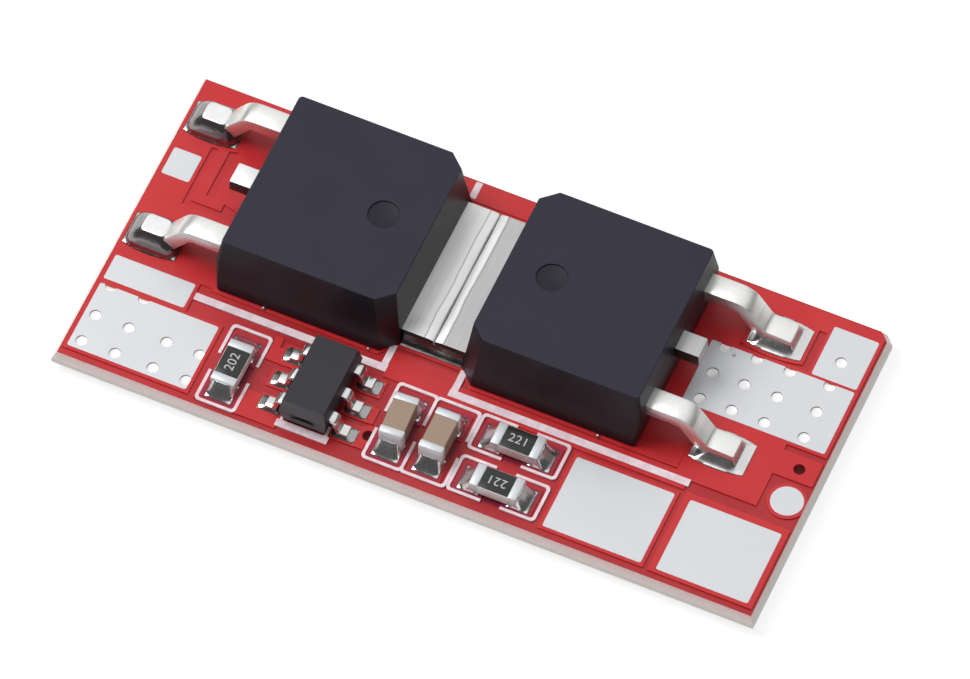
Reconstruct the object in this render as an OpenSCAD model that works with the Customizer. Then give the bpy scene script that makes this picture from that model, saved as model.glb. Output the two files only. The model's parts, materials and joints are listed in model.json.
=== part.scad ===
// Battery management board with two power switches, a control chip and chip parts.
// The origin is the centre of the underside. X runs along the board, Y from its near
// edge to its far edge, and Z up through the parts. All sizes are in millimetres.

/* [Board] */
// Thickness of the glass fibre laminate
laminate_thickness = 0.7; // [0.4:0.1:1.6]
// Thickness of the copper on each face
copper_thickness = 0.05; // [0.035:0.005:0.07]
// Thickness of the solder mask
mask_thickness = 0.03; // [0.02:0.005:0.04]
// Height of the tinning above the copper of a bare pad
tin_thickness = 0.04; // [0.03:0.01:0.08]
// Height of the printed lines above the mask
ink_thickness = 0.02; // [0.01:0.01:0.04]
// Corner broken off at the far right
corner_clip = 0.3; // [0:0.1:0.6]
// Copper that runs on under the mask round a bare pad
mask_overlap = 0.08; // [0.05:0.01:0.12]
// How far the broken web of a scored edge stands out at mid thickness
score_web = 0.14; // [0.02:0.02:0.2]
// Bare strip between the copper and the edge of the board
copper_setback = 0.1; // [0.05:0.01:0.14]
// Bare strip between the underside's mask and the scored edge
bottom_setback = 0.1; // [0.02:0.02:0.2]

/* [Spacing] */
// From the near edge to the middle of the chip
chip_margin = 1.85; // [1.8:0.01:1.9]
// From the near edge to the middle of the capacitors' outlines
capacitor_margin = 1.8; // [1.75:0.01:1.85]
// From the near edge to the middle of the first resistor's outline
resistor_margin = 1.64; // [1.6:0.01:1.7]
// Gap between the chip and the mouldings of the power switches
row_gap = 0.79; // [0.7:0.01:1]
// From the mouldings to the far edge
switch_margin = 0.44; // [0.3:0.02:0.5]
// From the left end of the board to the first lead pad
lead_end_margin = 0.12; // [0.1:0.01:0.2]
// Between the last lead pad and the corner pad
corner_pad_space = 0.48; // [0.3:0.01:0.7]
// Between the pad with ten vias and the first outline
first_gap = 0.345; // [0.2:0.005:0.5]
// Between the first outline and the chip's solder pads
chip_left_gap = 0.515; // [0.4:0.005:0.7]
// Between the chip's solder pads and the next outline
chip_right_gap = 0.37; // [0.3:0.01:0.5]
// Between the capacitors' and the resistors' printed walls
wall_step = 0.11; // [0.1:0.01:0.3]
// Between the printed walls of the two resistors that lie side by side
resistor_gap = 0.335; // [0.2:0.005:0.4]
// Between the last outline and the left wire pad
wire_gap = 0.27; // [0.2:0.01:0.5]

/* [Bare pads] */
// Corner radius of the bare pads
pad_corner = 0.08; // [0.02:0.02:0.2]
// Distance from the side pads to the ends of the board
side_margin = 0.18; // [0.15:0.01:0.3]
// Distance from the near pads to the near edge
near_margin = 0.32; // [0.2:0.02:0.4]
// Length of the square pad along the board
square_pad_length = 0.96; // [0.7:0.02:1.2]
// Width of the square pad
square_pad_width = 1.05; // [0.7:0.05:1.2]
// Length of the pad with ten vias
left_via_pad_length = 4.06; // [3.9:0.02:4.3]
// Width of the pad with ten vias
left_via_pad_width = 2.5; // [2.3:0.1:2.6]
// Length of the narrow pad
narrow_pad_length = 2.76; // [2:0.02:2.8]
// Width of the narrow pad
narrow_pad_width = 0.95; // [0.7:0.05:1]
// Gap between the narrow pad and the pad with ten vias
narrow_pad_gap = 0.19; // [0.17:0.01:0.22]
// Length of the pad with twelve vias
right_via_pad_length = 4.82; // [4.6:0.02:4.9]
// Width of the pad with twelve vias
right_via_pad_width = 2.46; // [2.3:0.02:2.5]
// Length of the corner pad
corner_pad_length = 1.52; // [1.2:0.02:1.6]
// Width of the corner pad
corner_pad_width = 1.9; // [1.5:0.02:1.94]
// Gap between the corner pad and the pad with twelve vias
corner_pad_gap = 0.09; // [0.07:0.01:0.2]
// Length of the left wire pad
left_wire_pad_length = 3.3; // [3:0.05:3.5]
// Length of the right wire pad
right_wire_pad_length = 3.07; // [2.8:0.01:3.3]
// Width of both wire pads
wire_pad_width = 2.72; // [2:0.02:2.74]
// Gap between the two wire pads
wire_pad_gap = 0.5; // [0.4:0.05:0.6]
// Distance from the right wire pad to the end of the board
wire_pad_margin = 0.25; // [0.2:0.01:0.35]
// Diameter of the round pad
round_pad_diameter = 1.06; // [0.8:0.02:1.1]

/* [Covered copper] */
// Bare channel between one pour and the next
channel = 0.28; // [0.2:0.01:0.3]
// Width of the gate track
gate_track = 0.3; // [0.2:0.02:0.32]
// Width of the thin tracks and of the track on the underside
thin_track = 0.2; // [0.15:0.01:0.25]
// Copper that runs out from under the mouldings towards their leads
pour_reach = 1.35; // [1.2:0.05:1.4]
// Copper round the near right lead pad
pour_skirt = 0.65; // [0.4:0.05:0.7]

/* [Vias] */
// Drilled diameter of a via
via_drill = 0.46; // [0.4:0.02:0.5]
// Copper plating on the wall of a via
via_plating = 0.04; // [0.03:0.01:0.06]
// Depth of the dish in a solder plug
plug_dish = 0.03; // [0.01:0.01:0.05]
// Pitch of the via rows across the board
via_row_pitch = 1.02; // [0.9:0.02:1.06]
// Copper ring round each of the two signal vias
signal_via_ring = 0.66; // [0.6:0.02:0.7]

/* [Power switches] */
// Length of the moulding
mould_length = 6.17; // [6:0.01:6.2]
// Width of the moulding where it meets the board
mould_width = 6.62; // [6.3:0.02:6.7]
// Height of the moulding
mould_height = 2.3; // [2.2:0.05:2.6]
// How far each long side leans in up to the top
side_lean = 0.33; // [0.1:0.01:0.4]
// How far the tab end leans in up to the top
tab_end_lean = 0.28; // [0.1:0.01:0.4]
// How far the lead end leans in from the leads up to the top
lead_end_lean = 0.16; // [0.05:0.01:0.2]
// Chamfer on the two corners at the tab end
mould_chamfer = 0.52; // [0.2:0.02:0.7]
// Break on the moulding's two lead-end corners
corner_break = 0.1; // [0.04:0.02:0.2]
// From the tab end of the moulding to the middle of the ejector mark
ejector_place = 1.82; // [1.6:0.02:2.4]
// Diameter of the round ejector mark
ejector_mark = 1.0; // [0.6:0.05:1.3]
// Distance that the drain tab stands out of the moulding
tab_reach = 1.03; // [0.95:0.01:1.1]
// Width of the drain tab
tab_width = 5.15; // [4.9:0.05:5.4]
// Gap between the two tabs at the seam
tab_gap = 0.04; // [0.02:0.01:0.1]
// Width of the coined bevel at the end of a tab
coin_width = 0.28; // [0.1:0.02:0.4]
// Depth of the coined bevel at the end of a tab
coin_depth = 0.07; // [0.03:0.01:0.15]
// Thickness of the lead frame
frame_thickness = 0.5; // [0.45:0.01:0.6]
// Width of a lead
lead_width = 0.76; // [0.64:0.02:0.88]
// Distance from the middle of the package to a lead
lead_pitch = 2.286; // [2.2:0.002:2.35]
// Height of the underside of a lead where it leaves the moulding
lead_rise = 1.02; // [0.9:0.02:1.1]
// Straight run of a lead before its first bend
lead_run = 0.95; // [0.9:0.01:1]
// Inside radius of the bends of a lead
lead_bend = 0.25; // [0.15:0.01:0.3]
// Slope of the leg between the bends, in degrees
lead_slope = 55; // [50:1:65]
// Reach of a lead from the moulding to its tip
lead_reach = 2.93; // [2.87:0.01:3]
// Length of the cut stub of the middle lead
stub_reach = 0.76; // [0.5:0.01:0.8]
// Length of a lead's solder pad
lead_pad_length = 1.85; // [1.7:0.01:1.9]
// Width of a lead's solder pad
lead_pad_width = 1.44; // [1.2:0.02:1.44]
// How far the long sides of that pad bow out
lead_pad_bulge = 0.12; // [0.04:0.02:0.2]
// Distance from the tip of a lead to the outer end of its pad
lead_pad_toe = 0.42; // [0.3:0.01:0.5]

/* [Control chip] */
// Width of the chip's moulding between its lead rows
chip_width = 1.6; // [1.5:0.02:1.7]
// Length of the chip's moulding along its lead rows
chip_length = 2.8; // [2.7:0.02:3.0]
// Height of the chip's moulding
chip_height = 1.1; // [0.9:0.02:1.2]
// Gap under the chip's moulding
chip_standoff = 0.05; // [0.02:0.01:0.1]
// How far the chip's walls lean in above and below the leads
chip_lean = 0.1; // [0.04:0.01:0.14]
// Width over the tips of the chip's leads
chip_span = 2.8; // [2.7:0.02:2.9]
// Pitch of the chip's leads
chip_pitch = 0.95; // [0.9:0.01:1]
// Width of a chip lead
chip_lead_width = 0.4; // [0.3:0.01:0.46]
// Thickness of a chip lead
chip_lead_thickness = 0.15; // [0.1:0.01:0.2]
// Length of a chip lead's solder pad
chip_pad_length = 0.8; // [0.65:0.01:0.85]
// Width of a chip lead's solder pad
chip_pad_width = 0.55; // [0.5:0.01:0.6]
// How far the chip's solder pads run out past its leads
chip_pad_toe = 0.25; // [0.15:0.01:0.3]

/* [Chip parts] */
// Length of a chip resistor or capacitor
part_length = 1.6; // [1.5:0.02:1.7]
// Width of a chip resistor or capacitor
part_width = 0.8; // [0.7:0.02:0.9]
// Height of a chip resistor
resistor_height = 0.45; // [0.35:0.01:0.6]
// Height of a chip capacitor
capacitor_height = 0.8; // [0.6:0.02:0.9]
// Length of a terminal along the part
terminal_length = 0.31; // [0.2:0.01:0.4]
// Thickness of the metal of a terminal
terminal_thickness = 0.03; // [0.02:0.01:0.05]
// Thickness of the black coat on a resistor
coat_thickness = 0.03; // [0.02:0.01:0.05]
// Radius along the edges of a capacitor
capacitor_edge = 0.07; // [0.03:0.01:0.1]
// Length of a solder pad of a chip part
part_pad_length = 0.75; // [0.6:0.01:0.8]
// Width of a solder pad of a chip part
part_pad_width = 0.9; // [0.9:0.01:0.98]
// Distance from the middle of a part to the outer end of its pads
part_pad_reach = 1.2; // [1.1:0.01:1.25]
// How far the parts sit nearer than the middle of their outlines
part_offset = 0.08; // [0:0.01:0.1]

/* [Printed lines] */
// Length of the printed outline round a part
outline_length = 2.9; // [2.9:0.01:3]
// Width of the printed outline round a part
outline_width = 1.29; // [1.28:0.01:1.36]
// Width of the wider outline round the second capacitor
wide_outline = 1.45; // [1.3:0.01:1.5]
// Gap in the middle of each long side of an outline
outline_gap = 0.65; // [0.4:0.05:1]
// Width of a thin printed line
thin_line = 0.1; // [0.08:0.01:0.16]
// Width of a bold printed line
bold_line = 0.26; // [0.2:0.01:0.34]
// Width of the short strokes that run up from the bold lines
stroke_line = 0.22; // [0.15:0.01:0.26]

/* [Solder] */
// Solder between the copper and the foot of a part
solder_joint = 0.07; // [0.05:0.01:0.1]
// Solder left on the open part of a pad
solder_film = 0.05; // [0.03:0.01:0.05]
// Share of a terminal's height that its fillet climbs
fillet_climb = 0.9; // [0.4:0.05:0.95]
// Share of a lead's thickness that its solder climbs
lead_climb = 0.7; // [0.4:0.05:0.9]

/* [Hidden] */
$fn = 32;

// Colours
copper_colour = [0.80, 0.47, 0.28];
mask_colour = [0.84, 0.18, 0.16];
tin_colour = [0.84, 0.85, 0.87];
solder_colour = [0.76, 0.77, 0.78];
mould_colour = [0.20, 0.19, 0.24];
lead_colour = [0.90, 0.90, 0.88];

// Levels of the board's layers, from the resting face up
laminate_base = mask_thickness + copper_thickness;
laminate_top = laminate_base + laminate_thickness;
copper_level = laminate_top + copper_thickness;
mask_level = copper_level + mask_thickness;
tin_level = copper_level + tin_thickness;
ink_level = mask_level + ink_thickness;
seat_level = copper_level + solder_joint;

// Power switch, in its own frame: X leaves the seam, Z leaves the seat
mould_start = tab_reach;
mould_end = mould_start + mould_length;
stub_end = mould_end + stub_reach;
lead_bend_start = mould_end + lead_run;
lead_tip = mould_end + lead_reach;
lead_top = lead_rise + frame_thickness;
lead_pad_end = lead_tip + lead_pad_toe;
lead_pad_start = lead_pad_end - lead_pad_length;
lead_pad_arc = (pow(lead_pad_length / 2, 2) + pow(lead_pad_bulge, 2)) / (2 * lead_pad_bulge);
mark_depth = 0.06;
parting_band = 0.2;
slice = 0.01;

// Inside the moulding: the paddle that carries the die, and posts that its wires land on
waist_width = tab_width - 1.2;
paddle_end = mould_end - 1.37;
paddle_width = tab_width - 0.5;
die_end = mould_end - 1.57;
die_length = 3.4;
die_width = paddle_width - 0.35;
die_height = 0.2;
die_top = frame_thickness + die_height;
post_start = mould_end - 1.17;
post_length = 0.7;
post_outside = lead_pitch + lead_width / 2;
gate_post = 1.2;
source_post = 1.7;
gate_wire = 0.15;
source_wire = 0.3;
wire_inset = 0.18;
wire_step = 0.42;
wire_arch = 0.42;
wire_foot = post_start + 0.28 - 2 * wire_arch;

// Solder of the switches
foot_length = 0.95;
mound_width = lead_width + 0.36;
drain_pad_width = tab_width + 0.5;
drain_climb = solder_joint + frame_thickness * lead_climb;

// Control chip, in its own frame: X across the lead rows, Z leaves the seat
chip_lead_rise = chip_standoff + chip_height / 2 - chip_lead_thickness / 2;
chip_waist = chip_standoff + chip_height / 2;
chip_pad_end = chip_span / 2 + chip_pad_toe;
chip_pad_start = chip_pad_end - chip_pad_length;
chip_root = 0.25;
chip_run = 0.05;
chip_bend = 0.06;
chip_slope = 78;
chip_foot = 0.3;
chip_climb = 0.2;
chip_paddle = [chip_width / 2, 1.5];
chip_die = [0.7, 1.2];
chip_die_height = 0.15;
gate_mark = 0.24;
gate_mark_height = 0.2;
coat_margin = 0.02;
solder_bite = 0.05;
fillet_taper = 0.1;

// The board is as long as its longer row, and as wide as both rows together
outline_outside = outline_width + thin_line;
capacitor_span = outline_width + wide_outline;
part_row = [
    side_margin, left_via_pad_length, first_gap, outline_outside, chip_left_gap, 2 * chip_pad_end,
    chip_right_gap, capacitor_span, wall_step, outline_length, thin_line, wire_gap,
    left_wire_pad_length, wire_pad_gap, right_wire_pad_length, wire_pad_margin
];
switch_row_parts = [
    lead_end_margin, 2 * lead_pad_end, corner_pad_space, corner_pad_length, side_margin
];
function total(list, last) = last < 0 ? 0 : list[last] + total(list, last - 1);
board_length = max(total(part_row, 15), total(switch_row_parts, 4));
board_width = chip_margin + chip_length / 2 + row_gap + mould_width + switch_margin;
board_right = board_length / 2;
board_far = board_width / 2;

// Places of the power switches, and of the chip and the chip parts along their row
seam_place = lead_end_margin + lead_pad_end - board_right;
switch_row = board_far - switch_margin - mould_width / 2;
left_edge = side_margin - board_right;
right_edge = board_right - side_margin;
near_edge = near_margin - board_far;
chip_row = chip_margin - board_far;
capacitor_row = capacitor_margin - board_far;
resistor_1_left = left_edge + left_via_pad_length + first_gap;
chip_place = resistor_1_left + outline_outside + chip_left_gap + chip_pad_end;
capacitor_1_left = chip_place + chip_pad_end + chip_right_gap + thin_line / 2;
capacitor_2_left = capacitor_1_left + outline_width;
resistor_2_left = capacitor_2_left + wide_outline + wall_step;
resistor_1_outline = [resistor_1_left + outline_outside / 2, resistor_margin - board_far];
capacitor_1_outline = [capacitor_1_left + outline_width / 2, capacitor_row];
capacitor_2_outline = [capacitor_2_left + wide_outline / 2, capacitor_row];
resistor_3_outline = [resistor_2_left + outline_length / 2, near_edge + outline_outside / 2];
resistor_2_outline = resistor_3_outline + [0, outline_width + resistor_gap];
part_setback = [0, -part_offset];

// Bare pads as [left, near, right, far]
square_pad_box = let (middle = switch_row + square_pad_width / 2 - 0.05)
    [left_edge, middle - square_pad_width / 2,
     left_edge + square_pad_length, middle + square_pad_width / 2];
left_via_pad_box = [left_edge, near_edge,
    left_edge + left_via_pad_length, near_edge + left_via_pad_width];
narrow_pad_box = let (near = left_via_pad_box[3] + narrow_pad_gap)
    [left_edge, near, left_edge + narrow_pad_length, near + narrow_pad_width];
corner_pad_box = let (far = board_far - switch_margin)
    [right_edge - corner_pad_length, far - corner_pad_width, right_edge, far];
right_via_pad_box = let (far = corner_pad_box[1] - corner_pad_gap)
    [right_edge - right_via_pad_length, far - right_via_pad_width, right_edge, far];
right_wire_pad_box = let (right = board_right - wire_pad_margin)
    [right - right_wire_pad_length, near_edge, right, near_edge + wire_pad_width];
left_wire_pad_box = let (right = right_wire_pad_box[0] - wire_pad_gap)
    [right - left_wire_pad_length, near_edge, right, near_edge + wire_pad_width];
round_pad_margin = 0.05;
round_pad_drop = 3.15;
round_pad_centre = [board_right - round_pad_margin - round_pad_diameter / 2,
    switch_row - round_pad_drop];

// Vias: four columns in each of the two big pads, and single ones
via_bore = via_drill - 2 * via_plating;
left_via_columns = [0.36, 1.5, 2.79, 3.92];
right_via_columns = [0.5, 1.57, 2.67, 4.0];
first_row = 0.32;
left_via_rows = [first_row, first_row + via_row_pitch, left_via_pad_width];
right_via_rows = [first_row, first_row + via_row_pitch, first_row + 2 * via_row_pitch];
left_via_places = [
    for (column = left_via_columns, row = [0:2])
        if (row < 2 || column < left_via_columns[2])
            [left_via_pad_box[0] + column, left_via_pad_box[1] + left_via_rows[row]]
];
right_via_places = [
    for (column = right_via_columns, row = right_via_rows)
        [right_via_pad_box[0] + column, right_via_pad_box[1] + row]
];
corner_via_place = [corner_pad_box[2] - 0.82, corner_pad_box[1] + 0.75];
plugged_vias = concat(left_via_places, right_via_places, [corner_via_place]);
chip_via_step = [0.3, -0.75];
lead_via_step = [-0.68, -1.94];
signal_vias = [
    [chip_place + chip_pad_end, chip_row] + chip_via_step,
    [board_right, switch_row] + lead_via_step
];

// ---------------------------------------------------------------- plain shapes

// A flat box given as [left, near, right, far], grown on every side
module flat_box(box, grow = 0)
    translate([box[0] - grow, box[1] - grow])
        square([box[2] - box[0] + 2 * grow, box[3] - box[1] + 2 * grow]);

// The same box with round corners
module round_box(box, radius) {
    flat_box([box[0] + radius, box[1], box[2] - radius, box[3]]);
    flat_box([box[0], box[1] + radius, box[2], box[3] - radius]);
    for (x = [box[0] + radius, box[2] - radius], y = [box[1] + radius, box[3] - radius])
        translate([x, y]) circle(radius);
}

// A flat box round a centre
module middle_box(centre, size, grow = 0)
    translate(centre) square([size[0] + 2 * grow, size[1] + 2 * grow], center = true);

// A layer of a flat shape between two levels
module layer(base, top)
    translate([0, 0, base]) linear_extrude(top - base) children();

// A profile drawn in X and Z, extruded to a width round the XZ plane
module across(width)
    rotate([90, 0, 0]) linear_extrude(width, center = true) children();

// A profile drawn in Y and Z, extruded from one X to another
module along(start, end)
    translate([start, 0, 0]) rotate([90, 0, 90]) linear_extrude(end - start) children();

// Points on an arc, for profiles
function arc_points(centre, radius, from, to, steps = 5) = [
    for (step = [0:steps]) let (angle = from + (to - from) * step / steps)
        centre + radius * [cos(angle), sin(angle)]
];

// Side view of a lead that leaves at a height, bends down and ends in a flat foot at 0
function gull_outline(start, bend_start, tip, rise, thickness, bend, slope) =
    let (
        outer = bend + thickness,
        leg = (rise - (bend + outer) * (1 - cos(slope))) / sin(slope),
        foot_start = bend_start + (bend + outer) * sin(slope) + leg * cos(slope),
        high = [bend_start, rise - bend],
        low = [foot_start, outer]
    )
    concat(
        [[start, rise + thickness]],
        arc_points(high, outer, 90, 90 - slope),
        arc_points(low, bend, 270 - slope, 270),
        [[tip, thickness], [tip, 0]],
        arc_points(low, outer, 270, 270 - slope),
        arc_points(high, bend, 90 - slope, 90),
        [[start, rise]]
    );

// Hollow slope of solder from a low point up to a high point
function hollow_slope(low, high, steps = 5) = [
    for (step = [0:steps]) let (t = step / steps)
        [low[0] + (high[0] - low[0]) * t, low[1] + (high[1] - low[1]) * t * t]
];

// The same slope read from the high point down to the low one
function hollow_fall(high, low, steps = 5) = [
    for (step = [0:steps]) let (t = 1 - step / steps)
        [low[0] + (high[0] - low[0]) * t, low[1] + (high[1] - low[1]) * t * t]
];

// --------------------------------------------------------------- board layers

module board_outline(inset = 0) {
    x = board_right - inset;
    y = board_far - inset;
    polygon([[-x, -y], [x, -y], [x, y - corner_clip], [x - corner_clip, y], [-x, y]]);
}

// The edges were scored from both faces and snapped, which leaves them proud half way up
module scored_laminate() {
    middle = (laminate_base + laminate_top) / 2;
    hull() {
        layer(laminate_base, laminate_base + slice) board_outline();
        layer(middle - laminate_thickness / 8, middle + laminate_thickness / 8) board_outline(-score_web);
        layer(laminate_top - slice, laminate_top) board_outline();
    }
}

module at_vias(places)
    for (place = places) translate(place) children();

module via_holes(diameter, base, top) {
    at_vias(plugged_vias) translate([0, 0, base]) cylinder(h = top - base, d = diameter);
    at_vias(signal_vias) translate([0, 0, base]) cylinder(h = top - base, d = diameter);
}

module circuit_board()
    color([0.84, 0.78, 0.66])
        difference() {
            scored_laminate();
            via_holes(via_drill, laminate_base - 1, laminate_top + 1);
        }

// Places of the two feet pads of a chip part, in its own frame
module part_pads(grow = 0)
    for (side = [-1, 1])
        middle_box([side * (part_pad_reach - part_pad_length / 2), 0],
            [part_pad_length, part_pad_width], grow);

module at_resistor_1() translate(resistor_1_outline + part_setback) rotate([0, 0, 90]) children();
module at_resistor_2() translate(resistor_2_outline + part_setback) children();
module at_resistor_3() translate(resistor_3_outline + part_setback) rotate([0, 0, 180]) children();
module at_capacitor_1() translate(capacitor_1_outline + part_setback) rotate([0, 0, 90]) children();
module at_capacitor_2() translate(capacitor_2_outline + part_setback) rotate([0, 0, 90]) children();

module at_every_part() {
    at_resistor_1() children();
    at_resistor_2() children();
    at_resistor_3() children();
    at_capacitor_1() children();
    at_capacitor_2() children();
}

module at_chip() translate([chip_place, chip_row]) children();

module chip_pads(grow = 0)
    for (side = [-1, 1], row = [-1:1])
        middle_box([side * (chip_pad_end - chip_pad_length / 2), row * chip_pitch],
            [chip_pad_length, chip_pad_width], grow);

// The two switches are alike, and the left one is turned half round
module at_right_switch() translate([seam_place, switch_row]) children();
module at_left_switch() translate([seam_place, switch_row]) rotate([0, 0, 180]) children();

module switch_lead_pad(side, grow = 0)
    translate([(lead_pad_start + lead_pad_end) / 2, side * lead_pitch])
        intersection() {
            square([lead_pad_length + 2 * grow, lead_pad_width + 2 * grow], center = true);
            translate([0, lead_pad_width / 2 - lead_pad_arc]) circle(lead_pad_arc + grow, $fn = 96);
            translate([0, lead_pad_arc - lead_pad_width / 2]) circle(lead_pad_arc + grow, $fn = 96);
        }

module switch_lead_pads(grow = 0) {
    switch_lead_pad(-1, grow);
    switch_lead_pad(1, grow);
}

// The one drain pad under both switches: wide at the tabs, narrower under the mouldings
module drain_pad(grow = 0)
    translate([seam_place, switch_row]) {
        middle_box([0, 0], [2 * tab_reach, drain_pad_width], grow);
        middle_box([0, 0], [2 * paddle_end, paddle_width], grow);
    }

module bare_pads(grow = 0) {
    flat_box(square_pad_box, grow);
    flat_box(narrow_pad_box, grow);
    flat_box(left_via_pad_box, grow);
    flat_box(right_via_pad_box, grow);
    flat_box(corner_pad_box, grow);
    flat_box(left_wire_pad_box, grow);
    flat_box(right_wire_pad_box, grow);
    translate(round_pad_centre) circle(d = round_pad_diameter + 2 * grow);
}

// The drain pour under both mouldings, drawn back where their tabs meet
module drain_pour(grow = 0) {
    far = switch_row + lead_pitch + lead_pad_width / 2 - 0.1 + grow;
    near = switch_row - mould_width / 2 - mask_overlap - grow;
    back = switch_row - drain_pad_width / 2 - mask_overlap - grow;
    left = seam_place - mould_end;
    right = seam_place + mould_end + pour_reach + grow;
    step = tab_reach + mask_overlap - grow / 2;
    slope = near - back;
    polygon([
        [left - pour_reach - grow, far], [left - pour_reach - grow, switch_row - thin_track - grow],
        [left - grow, switch_row - mould_chamfer - grow], [left - grow, near],
        [seam_place - step + slope, near], [seam_place - step, back],
        [seam_place + step, back], [seam_place + step - slope, near],
        [right, near], [right, far]
    ]);
}

// Copper that the mask covers: what joins the pads
module top_tracks(grow = 0) {
    far = board_far - copper_setback;
    side = board_right - copper_setback;
    lead_far = switch_row + lead_pitch + lead_pad_width / 2;
    lead_near = switch_row - lead_pitch - lead_pad_width / 2;
    lead_left = seam_place + lead_pad_start - mask_overlap;
    mould_left = seam_place - mould_end;
    pour_end = square_pad_box[2] + mask_overlap;
    track = pour_end + channel;
    turn = switch_row - channel;
    chip_left = chip_place - chip_pad_start;
    chip_right = chip_place + chip_pad_start;
    chip_track = chip_left - 1.25;
    drain_pour(grow);
    // Far strip, and the pour down the left end to the near lead
    flat_box([-side, lead_far, corner_pad_box[2] + mask_overlap, far], grow);
    flat_box([-side, lead_near - channel, pour_end, far], grow);
    flat_box([-side, lead_near - channel, mould_left, turn - gate_track - channel], grow);
    // Gate track, down from the far left lead and in under the moulding
    flat_box([track, turn - gate_track, track + gate_track, lead_far - 1], grow);
    flat_box([track, turn - gate_track, mould_left - 1, turn], grow);
    // Pour between the two printed corners
    flat_box([seam_place - tab_reach, chip_row + 1.45, seam_place + tab_reach,
        switch_row - drain_pad_width / 2 - mask_overlap - thin_track], grow);
    // Pour round the near right lead, reaching out to its signal via
    flat_box([lead_left, lead_near - pour_skirt, corner_pad_box[0] + channel, switch_row - 1], grow);
    flat_box([lead_left, lead_near + pour_skirt,
        side, right_via_pad_box[1] - channel - mask_overlap], grow);
    // Strip over the wire pads, and the pour round the right one
    flat_box([right_wire_pad_box[0] - thin_track, near_edge - copper_setback,
        side, right_wire_pad_box[3] + thin_track], grow);
    flat_box([capacitor_2_left, right_wire_pad_box[3] + channel,
        right_wire_pad_box[0] - mask_overlap - channel, switch_row - mould_width / 2 - thin_track], grow);
    // Tracks from the chip to the parts round it
    flat_box([chip_track, chip_row + 0.55, chip_track + thin_track, chip_row + 1.4], grow);
    flat_box([chip_track, chip_row + 0.55, chip_left, chip_row + 1.05], grow);
    flat_box([resistor_1_left, 2 * copper_setback - board_far, chip_left, chip_row - 0.75], grow);
    flat_box([chip_right, chip_row - 0.3, capacitor_1_left - thin_track, chip_row + 0.25], grow);
    flat_box([chip_right, chip_row - 1.25, signal_vias[0][0], chip_row - 0.55], grow);
    at_vias(signal_vias) circle(d = signal_via_ring + 2 * grow);
}

module top_copper_plan(grow = 0) {
    bare_pads(mask_overlap + grow);
    at_every_part() part_pads(mask_overlap + grow);
    at_chip() chip_pads(mask_overlap / 2 + grow);
    at_left_switch() switch_lead_pads(mask_overlap + grow);
    at_right_switch() switch_lead_pads(mask_overlap + grow);
    drain_pad(mask_overlap + grow);
    top_tracks(grow);
}

module copper_top()
    color(copper_colour)
        difference() {
            layer(laminate_top, copper_level)
                intersection() {
                    top_copper_plan();
                    board_outline(copper_setback / 2);
                }
            via_holes(via_drill, laminate_top - 1, copper_level + 1);
        }

// Underside: one pour behind each field of vias and one track between the signal vias
module bottom_copper_plan() {
    start = signal_vias[0];
    end = signal_vias[1];
    half = thin_track / 2;
    flat_box(left_via_pad_box, mask_overlap);
    flat_box(right_via_pad_box, mask_overlap);
    flat_box([right_via_pad_box[2] - corner_pad_length, right_via_pad_box[3] - 0.1,
        right_via_pad_box[2] + mask_overlap, corner_pad_box[3] - 0.2]);
    at_vias(signal_vias) circle(d = signal_via_ring);
    flat_box([start[0] - half, start[1] - half, end[0] + half, start[1] + half]);
    flat_box([end[0] - half, start[1] - half, end[0] + half, end[1]]);
}

module copper_bottom()
    color(copper_colour)
        difference() {
            layer(mask_thickness, laminate_base) bottom_copper_plan();
            via_holes(via_drill, mask_thickness - 1, laminate_base + 1);
        }

// Openings in the top mask, each the outline of the metal that stands in it
module mask_openings() {
    round_box(square_pad_box, pad_corner);
    round_box(narrow_pad_box, pad_corner);
    round_box(left_via_pad_box, pad_corner);
    round_box(right_via_pad_box, pad_corner);
    round_box(corner_pad_box, pad_corner);
    round_box(left_wire_pad_box, pad_corner);
    round_box(right_wire_pad_box, pad_corner);
    translate(round_pad_centre) circle(d = round_pad_diameter);
    at_every_part() part_pads();
    at_chip() chip_pads();
    at_left_switch() switch_lead_pads();
    at_right_switch() switch_lead_pads();
    drain_pad();
    at_vias(signal_vias) circle(d = via_bore);
}

// The mask lies low between the copper and steps up over it
module mask_body() {
    layer(laminate_top, laminate_top + mask_thickness) board_outline();
    layer(laminate_top, mask_level)
        intersection() {
            top_copper_plan(mask_thickness);
            board_outline();
        }
}

module solder_mask_top()
    color(mask_colour)
        difference() {
            mask_body();
            copper_top();
            via_barrels();
            via_solder_plugs();
            layer(laminate_top - 1, mask_level + 1) mask_openings();
        }

module solder_mask_bottom()
    color(mask_colour)
        difference() {
            layer(0, laminate_base) board_outline(bottom_setback);
            copper_bottom();
            via_barrels();
            via_solder_plugs();
            at_vias(signal_vias) translate([0, 0, -1]) cylinder(h = 2, d = via_bore);
        }

module via_barrels()
    color(copper_colour)
        difference() {
            via_holes(via_drill, mask_thickness, copper_level);
            via_holes(via_bore, 0, copper_level + 1);
        }

// Solder left in a via, with a dished top
module via_solder_plugs()
    color(solder_colour)
        at_vias(plugged_vias)
            difference() {
                translate([0, 0, mask_thickness])
                    cylinder(h = copper_level - mask_thickness, d = via_bore);
                translate([0, 0, copper_level])
                    cylinder(h = 2 * plug_dish, r1 = via_bore / 4, r2 = via_bore * 3 / 4, center = true);
            }

// ------------------------------------------------------------ printed outlines

// One straight printed line with square ends
module line(from, to, width) {
    box = [min(from[0], to[0]) - width / 2, min(from[1], to[1]) - width / 2,
        max(from[0], to[0]) + width / 2, max(from[1], to[1]) + width / 2];
    flat_box(box);
}

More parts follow.
